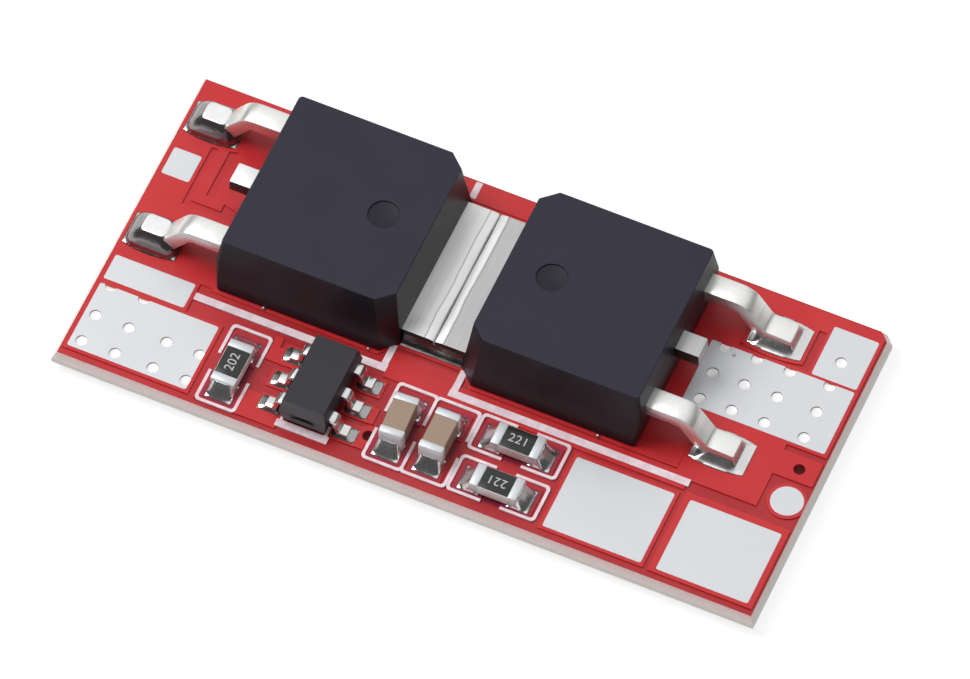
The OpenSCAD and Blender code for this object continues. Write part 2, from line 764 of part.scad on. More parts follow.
// Outline round a chip part: a frame open in the middle of each long side
module part_outline(width = outline_width) {
    half = [outline_length / 2, width / 2];
    out = thin_line / 2;
    difference() {
        round_box([-half[0] - out, -half[1] - out, half[0] + out, half[1] + out], 1.5 * thin_line);
        round_box([out - half[0], out - half[1], half[0] - out, half[1] - out], thin_line);
        square([outline_gap, 2 * width], center = true);
    }
}

module ink_plan() {
    line_row = chip_row + 1.71;
    corner_reach = tab_reach + 0.155;
    left_corner = seam_place - corner_reach;
    right_corner = seam_place + corner_reach;
    line_start = narrow_pad_box[2] + 0.26;
    line_end = right_wire_pad_box[0] - 0.38;
    stroke = 0.78;
    bar = chip_width / 2 - 0.05;
    bar_row = chip_row - 1.45;
    translate(resistor_1_outline) rotate(90) part_outline();
    translate(capacitor_1_outline) rotate(90) part_outline();
    translate(capacitor_2_outline) rotate(90) part_outline(wide_outline);
    translate(resistor_2_outline) part_outline();
    translate(resistor_3_outline) part_outline();
    // Bold lines along the near sides of the two switches, turned up at the tabs
    line([line_start, line_row], [left_corner, line_row], bold_line);
    line([left_corner, line_row], [left_corner, line_row + stroke], stroke_line);
    line([right_corner, line_row], [line_end, line_row], bold_line);
    line([right_corner, line_row], [right_corner, line_row + stroke], stroke_line);
    // Mark at the far edge between the switches
    line([left_corner, board_far - 0.19], [left_corner, board_far - 0.6], stroke_line);
    // Bracket round the near end of the chip
    line([chip_place - bar, bar_row], [chip_place + bar, bar_row], bold_line);
    for (side = [-1, 1])
        line([chip_place + side * bar, bar_row], [chip_place + side * bar, chip_row - 1], thin_line);
}

module silkscreen()
    color([0.93, 0.84, 0.88])
        difference() {
            layer(laminate_top, ink_level) ink_plan();
            mask_body();
            at_chip() layer(laminate_top, ink_level + 1) chip_pads();
        }

// ------------------------------------------------------------------- bare pads

module tinned_pad(box)
    color(tin_colour)
        difference() {
            layer(copper_level, tin_level) round_box(box, pad_corner);
            at_vias(plugged_vias) translate([0, 0, copper_level - 1]) cylinder(h = 2, d = via_bore);
        }

module square_pad() tinned_pad(square_pad_box);
module narrow_pad() tinned_pad(narrow_pad_box);
module left_via_pad() tinned_pad(left_via_pad_box);
module right_via_pad() tinned_pad(right_via_pad_box);
module corner_pad() tinned_pad(corner_pad_box);
module left_wire_pad() tinned_pad(left_wire_pad_box);
module right_wire_pad() tinned_pad(right_wire_pad_box);

module round_pad()
    color(tin_colour)
        layer(copper_level, tin_level) translate(round_pad_centre) circle(d = round_pad_diameter);

// -------------------------------------------------------------- power switches

module on_seat() translate([0, 0, seat_level]) children();

// Plan of the moulding at one height, with the two tab-end corners cut off
module mould_plan(start, end, width) {
    half = width / 2;
    polygon([
        [start + mould_chamfer, -half], [end - corner_break, -half], [end, corner_break - half],
        [end, half - corner_break], [end - corner_break, half], [start + mould_chamfer, half],
        [start, half - mould_chamfer], [start, mould_chamfer - half]
    ]);
}

// The walls lean in from the foot to the top, and the lead end also leans in below the leads
module mould_form() {
    parting = lead_rise + frame_thickness / 2;
    share = (parting + parting_band / 2) / mould_height;
    hull() {
        layer(0, slice) mould_plan(mould_start, mould_end - lead_end_lean / 2, mould_width);
        layer(parting - parting_band / 2, parting + parting_band / 2)
            mould_plan(mould_start + tab_end_lean * share, mould_end, mould_width - 2 * side_lean * share);
        layer(mould_height - slice, mould_height)
            mould_plan(mould_start + tab_end_lean, mould_end - lead_end_lean, mould_width - 2 * side_lean);
    }
}

// Stamped plate: the tab outside, the waist that locks in the moulding and the paddle
module drain_plate_plan() {
    flat_box([tab_gap / 2, -tab_width / 2, mould_start + 0.35, tab_width / 2]);
    flat_box([mould_start, -waist_width / 2, mould_start + 0.8, waist_width / 2]);
    flat_box([mould_start + 0.65, -paddle_width / 2, paddle_end, paddle_width / 2]);
}

module switch_drain_frame()
    color(lead_colour)
        on_seat() {
            difference() {
                linear_extrude(frame_thickness) drain_plate_plan();
                // Coined bevel at the end of the tab
                translate([tab_gap / 2, 0, frame_thickness])
                    across(tab_width + 1)
                        polygon([[0, -coin_depth], [coin_width, 0], [0, 1], [-1, 0]]);
            }
            // Middle lead, raised from the paddle and cut short outside
            across(lead_width)
                polygon([for (point = gull_outline(-stub_end, 0.1 - mould_end, 0.05 - die_end,
                    lead_rise, frame_thickness, lead_bend, lead_slope)) [-point[0], point[1]]]);
        }

// A lead with the wide post inside the moulding that its wires land on
module switch_lead(side, post_width)
    color(lead_colour)
        on_seat() {
            translate([0, side * lead_pitch, 0])
                across(lead_width)
                    polygon(gull_outline(post_start, lead_bend_start, lead_tip,
                        lead_rise, frame_thickness, lead_bend, lead_slope));
            layer(lead_rise, lead_top)
                translate([post_start + post_length / 2, side * (post_outside - post_width / 2)])
                    square([post_length, post_width], center = true);
        }

module switch_gate_lead() switch_lead(-1, gate_post);
module switch_source_lead() switch_lead(1, source_post);

module switch_die()
    color([0.55, 0.57, 0.60])
        on_seat()
            layer(frame_thickness, die_top)
                flat_box([die_end - die_length, -die_width / 2, die_end, die_width / 2]);

// An arched wire from the die up and over to a post
module bond_wire(place, diameter)
    translate([wire_foot + wire_arch, place, lead_top]) {
        rotate([90, 0, 0]) rotate_extrude(angle = 180) translate([wire_arch, 0]) circle(d = diameter);
        translate([-wire_arch, 0, die_top - lead_top]) cylinder(h = lead_top - die_top, d = diameter);
    }

module switch_bond_wires()
    color([0.80, 0.80, 0.82])
        on_seat() {
            bond_wire(die_width / 2 - wire_inset - wire_step, source_wire);
            bond_wire(die_width / 2 - wire_inset, source_wire);
            bond_wire(wire_inset - die_width / 2, gate_wire);
        }

module switch_body()
    color(mould_colour)
        difference() {
            on_seat() mould_form();
            on_seat() translate([mould_start + ejector_place, 0, mould_height - mark_depth])
                cylinder(h = 1, d = ejector_mark);
            switch_drain_frame();
            switch_gate_lead();
            switch_source_lead();
            switch_die();
            switch_bond_wires();
        }

// Solder on one lead pad: a film, and a mound with hollow slopes round the foot
module switch_lead_solder(side) {
    climb = frame_thickness * lead_climb;
    side_foot = mound_width / 2;
    difference() {
        union() {
            layer(copper_level, copper_level + solder_film) switch_lead_pad(side);
            translate([0, side * lead_pitch, copper_level])
                intersection() {
                    across(mound_width)
                        polygon(concat([[lead_pad_start, 0]],
                            hollow_slope([lead_pad_start, solder_film], [lead_tip - foot_length, climb]),
                            hollow_fall([lead_tip, climb], [lead_pad_end, solder_film]),
                            [[lead_pad_end, 0]]));
                    along(lead_pad_start, lead_pad_end)
                        polygon(concat([[-side_foot, 0]],
                            hollow_slope([-side_foot, solder_film], [-lead_width / 2, climb]),
                            hollow_fall([lead_width / 2, climb], [side_foot, solder_film]),
                            [[side_foot, 0]]));
                }
        }
        switch_lead(side, gate_post);
    }
}

module switch_solder()
    color(solder_colour) {
        switch_lead_solder(-1);
        switch_lead_solder(1);
    }

// One slab under both drain frames, with hollow fillets along the sides of the tabs
module drain_solder() {
    edge = drain_pad_width / 2;
    color(solder_colour)
        difference() {
            union() {
                layer(copper_level, seat_level) drain_pad();
                translate([0, switch_row, copper_level])
                    along(seam_place - tab_reach, seam_place + tab_reach)
                        polygon(concat([[-edge, 0]],
                            hollow_slope([-edge, solder_film], [-tab_width / 2, drain_climb]),
                            hollow_fall([tab_width / 2, drain_climb], [edge, solder_film]),
                            [[edge, 0]]));
            }
            at_left_switch() switch_drain_frame();
            at_right_switch() switch_drain_frame();
            at_left_switch() on_seat() mould_form();
            at_right_switch() on_seat() mould_form();
            // Nothing fills the seam between the tabs
            translate([seam_place, switch_row, seat_level + 1])
                cube([2 * tab_gap, tab_width, 2], center = true);
        }
}

// ---------------------------------------------------------------- control chip

module chip_form() {
    face = [chip_width - 2 * chip_lean, chip_length - 2 * chip_lean];
    chip_top = chip_standoff + chip_height;
    hull() {
        layer(chip_standoff, chip_standoff + slice) middle_box([0, 0], face);
        layer(chip_waist, chip_waist + slice) middle_box([0, 0], [chip_width, chip_length]);
        layer(chip_top - slice, chip_top) middle_box([0, 0], face);
    }
}

// Side view of one chip lead, from inside the moulding to its foot
module chip_lead_profile()
    polygon(gull_outline(chip_width / 2 - chip_root, chip_width / 2 + chip_run, chip_span / 2,
        chip_lead_rise, chip_lead_thickness, chip_bend, chip_slope));

module control_chip_leads()
    color(lead_colour)
        at_chip() on_seat() {
            for (turn = [0, 180], row = [-1:1])
                rotate([0, 0, turn]) translate([0, row * chip_pitch, 0])
                    across(chip_lead_width) chip_lead_profile();
            // Die paddle, joined to the middle lead of the left row
            layer(chip_lead_rise, chip_lead_rise + chip_lead_thickness) {
                middle_box([0, 0], chip_paddle);
                flat_box([-chip_width / 2 + 0.2, -chip_lead_width / 2, 0, chip_lead_width / 2]);
            }
        }

module control_chip_die() {
    base = chip_lead_rise + chip_lead_thickness;
    color([0.55, 0.57, 0.60])
        at_chip() on_seat() layer(base, base + chip_die_height) middle_box([0, 0], chip_die);
}

module control_chip_body()
    color(mould_colour)
        difference() {
            at_chip() on_seat() chip_form();
            // Gate mark low on the near end
            at_chip() on_seat()
                translate([0, -chip_length / 2 - gate_mark / 4, chip_waist - gate_mark / 2])
                    scale([3, 1, 1]) cylinder(h = gate_mark_height, d = gate_mark, center = true);
            control_chip_leads();
            control_chip_die();
        }

module control_chip_solder()
    color(solder_colour)
        difference() {
            at_chip() {
                layer(copper_level, copper_level + solder_film) chip_pads();
                for (turn = [0, 180], row = [-1:1])
                    rotate([0, 0, turn]) translate([0, row * chip_pitch, copper_level])
                        across(chip_pad_width - 0.07)
                            polygon(concat([[chip_pad_start, 0]],
                                hollow_slope([chip_pad_start, solder_film],
                                    [chip_span / 2 - chip_foot, chip_climb]),
                                hollow_fall([chip_span / 2, chip_climb], [chip_pad_end, solder_film]),
                                [[chip_pad_end, 0]]));
            }
            control_chip_leads();
        }

// ------------------------------------------------------------------ chip parts

module resistor_ceramic()
    color([0.92, 0.91, 0.88])
        on_seat()
            layer(terminal_thickness, resistor_height - terminal_thickness)
                middle_box([0, 0], [part_length - 2 * terminal_thickness, part_width]);

// Black coat over the middle of the resistor
module resistor_coat()
    color([0.12, 0.13, 0.13])
        on_seat()
            translate([0, 0, resistor_height - terminal_thickness])
                layer(0, coat_thickness)
                    middle_box([0, 0], [part_length - 2 * terminal_length, part_width - 2 * coat_margin]);

// Terminals of a resistor wrap its top, end and bottom, and leave the sides bare
module resistor_terminals()
    color(tin_colour)
        difference() {
            on_seat()
                for (side = [-1, 1])
                    layer(0, resistor_height)
                        middle_box([side * (part_length - terminal_length) / 2, 0],
                            [terminal_length, part_width]);
            resistor_ceramic();
        }

// A block with its long and its end edges rounded
module soft_block(length, width, height, edge)
    intersection() {
        along(-length / 2, length / 2) round_box([-width / 2, 0, width / 2, height], edge);
        across(width + 1) round_box([-length / 2, 0, length / 2, height], edge);
    }

module capacitor_ceramic()
    color([0.62, 0.52, 0.42])
        on_seat()
            translate([0, 0, terminal_thickness])
                soft_block(part_length - 2 * terminal_thickness, part_width - 2 * terminal_thickness,
                    capacitor_height - 2 * terminal_thickness, capacitor_edge - 0.02);

module capacitor_terminals()
    color(tin_colour)
        difference() {
            on_seat() soft_block(part_length, part_width, capacitor_height, capacitor_edge);
            on_seat() layer(-1, capacitor_height + 1)
                middle_box([0, 0], [part_length - 2 * terminal_length, part_width + 1]);
            capacitor_ceramic();
        }

// Solder of a chip part: a film on each pad and a fillet up each end
module part_solder_form(height) {
    climb = solder_joint + height * fillet_climb;
    pad_inner = part_pad_reach - part_pad_length;
    layer(copper_level, copper_level + solder_film) part_pads();
    for (turn = [0, 180])
        rotate([0, 0, turn]) translate([0, 0, copper_level])
            intersection() {
                across(part_width)
                    polygon(concat([[pad_inner, 0], [pad_inner, solder_joint]],
                        [[part_length / 2 - solder_bite, solder_joint],
                            [part_length / 2 - solder_bite, climb]],
                        hollow_fall([part_length / 2, climb], [part_pad_reach, solder_film]),
                        [[part_pad_reach, 0]]));
                linear_extrude(climb)
                    polygon([[0, -part_width / 2], [part_length / 2, -part_width / 2],
                        [part_pad_reach, fillet_taper - part_width / 2],
                        [part_pad_reach, part_width / 2 - fillet_taper],
                        [part_length / 2, part_width / 2], [0, part_width / 2]]);
            }
}

module resistor_solder()
    color(solder_colour)
        difference() {
            part_solder_form(resistor_height);
            on_seat() layer(0, resistor_height) middle_box([0, 0], [part_length, part_width + 1]);
        }

module capacitor_solder()
    color(solder_colour)
        difference() {
            part_solder_form(capacitor_height);
            on_seat() layer(0, capacitor_height) middle_box([0, 0], [part_length, part_width + 1]);
        }

// --------------------------------------------------------------------- the part

circuit_board();
copper_top();
copper_bottom();
solder_mask_top();
solder_mask_bottom();
silkscreen();
via_barrels();
via_solder_plugs();
square_pad();
narrow_pad();
left_via_pad();
right_via_pad();
corner_pad();
left_wire_pad();
right_wire_pad();
round_pad();
drain_solder();
at_left_switch() switch_body();  // left_switch_body
at_left_switch() switch_drain_frame();  // left_switch_drain_frame
at_left_switch() switch_gate_lead();  // left_switch_gate_lead
at_left_switch() switch_source_lead();  // left_switch_source_lead
at_left_switch() switch_die();  // left_switch_die
at_left_switch() switch_bond_wires();  // left_switch_bond_wires
at_left_switch() switch_solder();  // left_switch_solder
at_right_switch() switch_body();  // right_switch_body
at_right_switch() switch_drain_frame();  // right_switch_drain_frame
at_right_switch() switch_gate_lead();  // right_switch_gate_lead
at_right_switch() switch_source_lead();  // right_switch_source_lead
at_right_switch() switch_die();  // right_switch_die
at_right_switch() switch_bond_wires();  // right_switch_bond_wires
at_right_switch() switch_solder();  // right_switch_solder
control_chip_body();
control_chip_leads();
control_chip_die();
control_chip_solder();
at_resistor_1() resistor_ceramic();  // resistor_1_ceramic
at_resistor_1() resistor_coat();  // resistor_1_coat
at_resistor_1() resistor_terminals();  // resistor_1_terminals
at_resistor_1() resistor_solder();  // resistor_1_solder
at_resistor_2() resistor_ceramic();  // resistor_2_ceramic
at_resistor_2() resistor_coat();  // resistor_2_coat
at_resistor_2() resistor_terminals();  // resistor_2_terminals
at_resistor_2() resistor_solder();  // resistor_2_solder
at_resistor_3() resistor_ceramic();  // resistor_3_ceramic
at_resistor_3() resistor_coat();  // resistor_3_coat
at_resistor_3() resistor_terminals();  // resistor_3_terminals
at_resistor_3() resistor_solder();  // resistor_3_solder
at_capacitor_1() capacitor_ceramic();  // capacitor_1_ceramic
at_capacitor_1() capacitor_terminals();  // capacitor_1_terminals
at_capacitor_1() capacitor_solder();  // capacitor_1_solder
at_capacitor_2() capacitor_ceramic();  // capacitor_2_ceramic
at_capacitor_2() capacitor_terminals();  // capacitor_2_terminals
at_capacitor_2() capacitor_solder();  // capacitor_2_solder
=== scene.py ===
"""Looks of the battery management board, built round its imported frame."""
import json
import math

import bmesh
import bpy
from mathutils import Matrix, Vector


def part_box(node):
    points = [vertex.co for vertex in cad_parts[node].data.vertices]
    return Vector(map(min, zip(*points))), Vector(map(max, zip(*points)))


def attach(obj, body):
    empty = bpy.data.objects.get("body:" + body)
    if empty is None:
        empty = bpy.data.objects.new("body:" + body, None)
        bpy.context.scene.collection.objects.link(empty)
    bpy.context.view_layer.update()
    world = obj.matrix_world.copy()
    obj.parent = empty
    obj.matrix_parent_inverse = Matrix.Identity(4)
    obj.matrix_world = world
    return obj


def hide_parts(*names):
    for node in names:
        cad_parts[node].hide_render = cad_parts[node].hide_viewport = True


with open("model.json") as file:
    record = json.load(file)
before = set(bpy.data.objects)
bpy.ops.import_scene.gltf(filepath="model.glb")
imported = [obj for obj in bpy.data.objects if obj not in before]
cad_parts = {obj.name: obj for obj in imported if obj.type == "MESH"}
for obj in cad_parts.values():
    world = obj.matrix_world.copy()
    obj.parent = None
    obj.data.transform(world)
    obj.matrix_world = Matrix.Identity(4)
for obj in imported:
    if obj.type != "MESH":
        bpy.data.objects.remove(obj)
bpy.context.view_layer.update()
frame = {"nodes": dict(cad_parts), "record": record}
scene = bpy.context.scene
MM = 0.001


def box_of(node):
    """Lowest and highest corner of a CAD node, in millimetres."""
    return [tuple(value / MM for value in corner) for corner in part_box(node)]


def middle_of(node):
    low, high = box_of(node)
    return (low[0] + high[0]) / 2, (low[1] + high[1]) / 2


# Where the tabs of the two switches meet
SEAM = (box_of("left_switch_drain_frame")[1][0] + box_of("right_switch_drain_frame")[0][0]) / 2


# ------------------------------------------------------------------ shader maths

class Shade:
    """A value or colour on its way through a node tree. Arithmetic on it adds the nodes for it."""

    def __init__(self, wiring, socket):
        self.wiring = wiring
        self.socket = socket

    def math(self, operation, first, second=0.0):
        return self.wiring.node("ShaderNodeMath", {"operation": operation}, {0: first, 1: second})

    def __add__(self, other):
        return self.math("ADD", self, other)

    def __sub__(self, other):
        return self.math("SUBTRACT", self, other)

    def __rsub__(self, other):
        return self.math("SUBTRACT", other, self)

    def __mul__(self, other):
        return self.math("MULTIPLY", self, other)

    def __gt__(self, other):
        return self.math("GREATER_THAN", self, other)

    def __abs__(self):
        return self.math("ABSOLUTE", self)


# Sockets of the Mix node that carry colours
MIX_FIRST, MIX_SECOND, MIX_RESULT = 6, 7, 2


class Wiring:
    """A node tree that is being wired up."""

    def __init__(self, tree):
        self.tree = tree
        tree.nodes.clear()

    def node(self, kind, settings, inputs, output=0):
        """Adds a node. An input is a Shade, which is linked, or a plain value."""
        made = self.tree.nodes.new(kind)
        for name, value in settings.items():
            setattr(made, name, value)
        for key, value in inputs.items():
            if isinstance(value, Shade):
                self.tree.links.new(value.socket, made.inputs[key])
            elif value is not None:
                made.inputs[key].default_value = value
        return Shade(self, made.outputs[output])

    def part(self, vector, axis):
        return self.node("ShaderNodeSeparateXYZ", {}, {0: vector}, axis)

    def span(self, value, low, high, out_low=0.0, out_high=1.0):
        """The value brought from one range to another and held inside it."""
        inputs = {"Value": value, "From Min": low, "From Max": high, "To Min": out_low, "To Max": out_high}
        return self.node("ShaderNodeMapRange", {"clamp": True}, inputs)

    def end(self, shader, kind="ShaderNodeOutputMaterial"):
        """Leads a shader out of the tree."""
        way_out = self.tree.nodes.new(kind)
        self.tree.links.new(shader.socket, way_out.inputs["Surface"])


class Finish(Wiring):
    """One material and the nodes that make it. Lengths are in millimetres."""

    def __init__(self, name):
        self.material = bpy.data.materials.new(name)
        self.material.use_nodes = True
        super().__init__(self.material.node_tree)
        self.place = self.scaled(self.node("ShaderNodeTexCoord", {}, {}, "Object"), (1 / MM,) * 3)

    def scaled(self, vector, factors):
        return self.node("ShaderNodeVectorMath", {"operation": "MULTIPLY"}, {0: vector, 1: factors})

    def facing(self, axis):
        """How far the surface faces an axis of the board, from -1 to 1."""
        normal = self.node("ShaderNodeNewGeometry", {}, {}, "True Normal")
        return self.part(normal, axis)

    def noise(self, size, detail=2.0, roughness=0.5, stretch=(1, 1, 1)):
        """Noise whose lumps are about that many millimetres across."""
        place = self.scaled(self.place, tuple(s / size for s in stretch))
        inputs = {"Vector": place, "Scale": 1.0, "Detail": detail, "Roughness": roughness}
        return self.node("ShaderNodeTexNoise", {}, inputs)

    def blend(self, share, first, second):
        """Colours mixed by a share from 0 to 1."""
        colours = [c if isinstance(c, Shade) else (*c, 1.0) for c in (first, second)]
        inputs = {0: share, MIX_FIRST: colours[0], MIX_SECOND: colours[1]}
        return self.node("ShaderNodeMix", {"data_type": "RGBA"}, inputs, MIX_RESULT)

    def bump(self, height):
        """A normal from a height in millimetres."""
        return self.node("ShaderNodeBump", {}, {"Height": height, "Strength": 1.0, "Distance": MM})

    def coat(self, colour, roughness, metallic=0.0, normal=None, **more):
        """The surface itself. More sockets are given by name, with _ for a space."""
        inputs = {"Base Color": colour, "Roughness": roughness, "Metallic": metallic, "Normal": normal}
        inputs.update({name.replace("_", " "): value for name, value in more.items()})
        self.end(self.node("ShaderNodeBsdfPrincipled", {}, inputs))
        return self.material


# -------------------------------------------------------------------- finishes

def mask_finish():
    """Red solder mask: lighter where copper backs it, purplish and dark inside the part outlines."""
    f = Finish("red_solder_mask")
    x, y, z = (f.part(f.place, axis) for axis in "XYZ")
    board = box_of("circuit_board")
    middle = (board[0][2] + board[1][2]) / 2
    over_bare, over_copper = 0.385, 0.415
    copper = f.span(abs(z - middle), over_bare, over_copper)
    long_reach, short_reach, blur = 1.36, 0.60, 0.10
    framed = 0.0
    for name in ("resistor_1", "resistor_2", "resistor_3", "capacitor_1", "capacitor_2"):
        centre, (low, high) = middle_of(name + "_ceramic"), box_of(name + "_ceramic")
        along_x = high[0] - low[0] > high[1] - low[1]
        reach = (long_reach, short_reach) if along_x else (short_reach, long_reach)
        across = f.span(abs(x - centre[0]), reach[0], reach[0] - blur)
        framed = across * f.span(abs(y - centre[1]), reach[1], reach[1] - blur) + framed
    blotch = f.noise(1.6, 3.0)
    channel = f.blend(f.span(x, -6.5, -8.0), (0.40, 0.011, 0.017), (0.50, 0.015, 0.020))
    open_red = f.blend(copper, channel, (0.57, 0.018, 0.022))
    framed_red = f.blend(copper, (0.17, 0.006, 0.030), (0.25, 0.010, 0.036))
    colour = f.blend(f.span(framed, 0, 1) * (z > middle), open_red, framed_red)
    colour = f.blend(f.span(blotch, 0.35, 0.75, 0.0, 0.22), colour, (0.70, 0.06, 0.06))
    # The steps of the mask at copper edges are painted a brighter red, as a painted highlight.
    painted_step_highlight = f.span(f.facing("Z"), 0.95, 0.6)
    colour = f.blend(painted_step_highlight * 0.8, colour, (0.80, 0.05, 0.05))
    fine = f.noise(0.12, 2.0)
    return f.coat(colour, f.span(blotch, 0.3, 0.7, 0.30, 0.42), normal=f.bump(fine * 0.0015),
                  Specular_IOR_Level=0.4)


def laminate_finish():
    """Sawn edge of the board: woven layers, tinted by the mask near the top."""
    f = Finish("glass_fibre_laminate")
    board = box_of("circuit_board")
    height = f.span(f.part(f.place, "Z"), board[0][2], board[1][2])
    layers = f.noise(0.10, 2.0, stretch=(0.2, 0.2, 1.6))
    fibres = f.noise(0.05, 3.0, stretch=(1, 1, 0.15))
    weave = f.blend(layers, (0.93, 0.89, 0.85), (0.80, 0.75, 0.70))
    near_or_far = f.span(abs(f.facing("Y")), 0.3, 0.8, 0.25, 1.0)
    tinted = f.blend(f.span(height, 0.5, 1.0, 0.0, 0.7) * near_or_far, weave, (0.84, 0.50, 0.50))
    colour = f.blend(f.span(fibres, 0.45, 0.7, 0.0, 0.5), tinted, (0.92, 0.86, 0.84))
    return f.coat(colour, 0.75, normal=f.bump(fibres * 0.02))


def tin_finish():
    """Bare tinned pads: pale, level and only half bright."""
    f = Finish("levelled_tin")
    cloud = f.noise(1.8, 2.0)
    fine = f.noise(0.09, 3.0)
    colour = f.blend(cloud, (0.64, 0.66, 0.69), (0.71, 0.72, 0.75))
    return f.coat(colour, f.span(fine, 0.3, 0.7, 0.42, 0.52), 0.38,
                  normal=f.bump(cloud * 0.015 + fine * 0.002))


def solder_finish(name="bright_solder", rough=(0.16, 0.26), metallic=0.92, tone=(0.66, 0.78),
                  ripple=0.006):
    """Solder that set smooth, between two roughnesses and two greys."""
    f = Finish(name)
    cloud = f.noise(0.45, 1.0)
    low, high = tone
    colour = f.blend(cloud, (low, low, low), (high, high, high * 0.99))
    return f.coat(colour, f.span(cloud, 0.3, 0.7, *rough), metallic, normal=f.bump(cloud * ripple))


def mound_finish():
    """Solder heaped over a foot: a bright frosted crown, and glossier flanks painted dark as painted shade
    and reflection.
    """
    f = Finish("heaped_lead_solder")
    cloud = f.noise(0.30, 2.0)
    crown = f.span(f.facing("Z"), 0.70, 0.98)
    bright = f.blend(cloud, (0.74, 0.74, 0.74), (0.92, 0.92, 0.92))
    # The flanks, which do not face up, are painted dark as painted shade and reflection.
    colour = f.blend(crown, (0.30, 0.28, 0.28), bright)
    return f.coat(colour, f.span(crown, 0, 1, 0.20, 0.34), 0.9, normal=f.bump(cloud * 0.008))


def plating_finish():
    """Matt tin plate on the bent leads, with fine ridges across their slopes."""
    f = Finish("matt_tin_plate")
    grain = f.noise(0.07, 3.0)
    ridges = f.noise(0.11, 2.0, stretch=(1, 0.12, 1))
    slope = f.span(f.facing("Z"), 0.95, 0.75)
    colour = f.blend(grain, (0.84, 0.84, 0.82), (0.93, 0.93, 0.91))
    return f.coat(colour, f.span(ridges, 0.3, 0.7, 0.30, 0.42), 0.80,
                  normal=f.bump(grain * 0.002 + ridges * slope * 0.008))


def tab_finish():
    """Drain tabs, brushed from the near side to the far side, with bright coined strips at the seam."""
    f = Finish("brushed_tab_plate")
    wander = f.noise(1.1, 2.0, stretch=(0.3, 1, 0.3))
    x = f.part(f.place, "X")
    from_seam = abs(x - SEAM) + (wander - 0.5) * 0.16
    streaks = f.noise(0.10, 4.0, stretch=(1, 0.03, 1))
    cloud = f.noise(0.9, 2.0, stretch=(1, 0.3, 1))
    # The left tab is painted lighter than the right, as painted light that makes up for the shade the left
    # moulding throws on it.
    left_tab = f.span(x, SEAM + 0.05, SEAM - 0.05)
    right_tab_plate = f.blend(streaks, (0.46, 0.46, 0.46), (0.64, 0.64, 0.64))
    left_tab_painted_lighter = f.blend(streaks, (0.84, 0.84, 0.84), (0.97, 0.97, 0.97))
    plate = f.blend(left_tab, right_tab_plate, left_tab_painted_lighter)
    strip = f.span(from_seam, 0.30, 0.26)
    line = f.span(abs(from_seam - 0.32), 0.03, 0.01)
    colour = f.blend(strip, plate, (0.95, 0.95, 0.95))
    colour = f.blend(line * 0.6, colour, (0.25, 0.25, 0.25))
    # Faces toward the near and far sides are painted nearly black, as painted shade; they are also made
    # less metallic, as sheared edges.
    sheared_and_shaded = f.span(abs(f.facing("Y")), 0.5, 0.9)
    colour = f.blend(sheared_and_shaded, colour, (0.05, 0.045, 0.045))
    return f.coat(colour, f.span(cloud, 0.3, 0.7, 0.34, 0.50), f.span(sheared_and_shaded, 0, 1, 0.42, 0.2),
                  normal=f.bump(streaks * 0.006 + cloud * 0.02))


def copper_finish():
    """Bare copper at the edges of the pads."""
    f = Finish("copper_foil")
    grain = f.noise(0.08, 2.0)
    colour = f.blend(grain, (0.70, 0.34, 0.20), (0.84, 0.46, 0.30))
    return f.coat(colour, 0.35, 0.9, normal=f.bump(grain * 0.002))


def moulding_finish():
    """Matt top, smoother sides painted darker as painted shade, and a darker floor in the ejector mark."""
    f = Finish("dark_epoxy_moulding")
    top = box_of("right_switch_body")[1][2]
    up = f.facing("Z")
    grain = f.noise(0.035, 3.0, 0.6)
    cloud = f.noise(1.2, 2.0)
    colour = f.blend(cloud, (0.025, 0.023, 0.038), (0.031, 0.029, 0.047))
    sunk = f.span(f.part(f.place, "Z"), top - 0.01, top - 0.04) * f.span(up, 0.8, 0.95)
    colour = f.blend(sunk * 0.55, colour, (0.012, 0.010, 0.020))
    # The sides are painted darker than the top, as painted shade.
    side = f.span(up, 0.7, 0.3)
    colour = f.blend(side * 0.8, colour, (0.006, 0.005, 0.008))
    return f.coat(colour, f.span(grain, 0.3, 0.7, 0.42, 0.56), normal=f.bump(grain * 0.004),
                  Specular_IOR_Level=0.22, Coat_Weight=side * 0.25, Coat_Roughness=0.3)


def chip_moulding_finish():
    """Moulding of the control chip: its sloped near end is painted greyer, as painted light and sheen."""
    f = Finish("chip_epoxy_moulding")
    grain = f.noise(0.03, 3.0, 0.6)
    # Faces toward the near side are painted greyer, as painted light and sheen.
    near_end = f.span(0 - f.facing("Y"), 0.5, 0.9)
    colour = f.blend(grain, (0.026, 0.025, 0.032), (0.034, 0.033, 0.041))
    colour = f.blend(near_end, colour, (0.085, 0.078, 0.088))
    return f.coat(colour, f.span(grain, 0.3, 0.7, 0.45, 0.6), normal=f.bump(grain * 0.003),
                  Specular_IOR_Level=0.3)


def ink_finish():
    """White print, tinted where the mask shows through it."""
    f = Finish("printed_ink")
    cloud = f.noise(0.25, 3.0)
    colour = f.blend(f.span(cloud, 0.4, 0.7), (0.80, 0.62, 0.68), (0.90, 0.79, 0.83))
    return f.coat(colour, 0.5, normal=f.bump(cloud * 0.004))


def plain_finish(name, dark, light, roughness, grain_size=0.08, metallic=0.0):
    """An even finish whose grain runs between two colours."""
    f = Finish(name)
    grain = f.noise(grain_size, 3.0)
    return f.coat(f.blend(grain, dark, light), roughness, metallic, normal=f.bump(grain * 0.003))


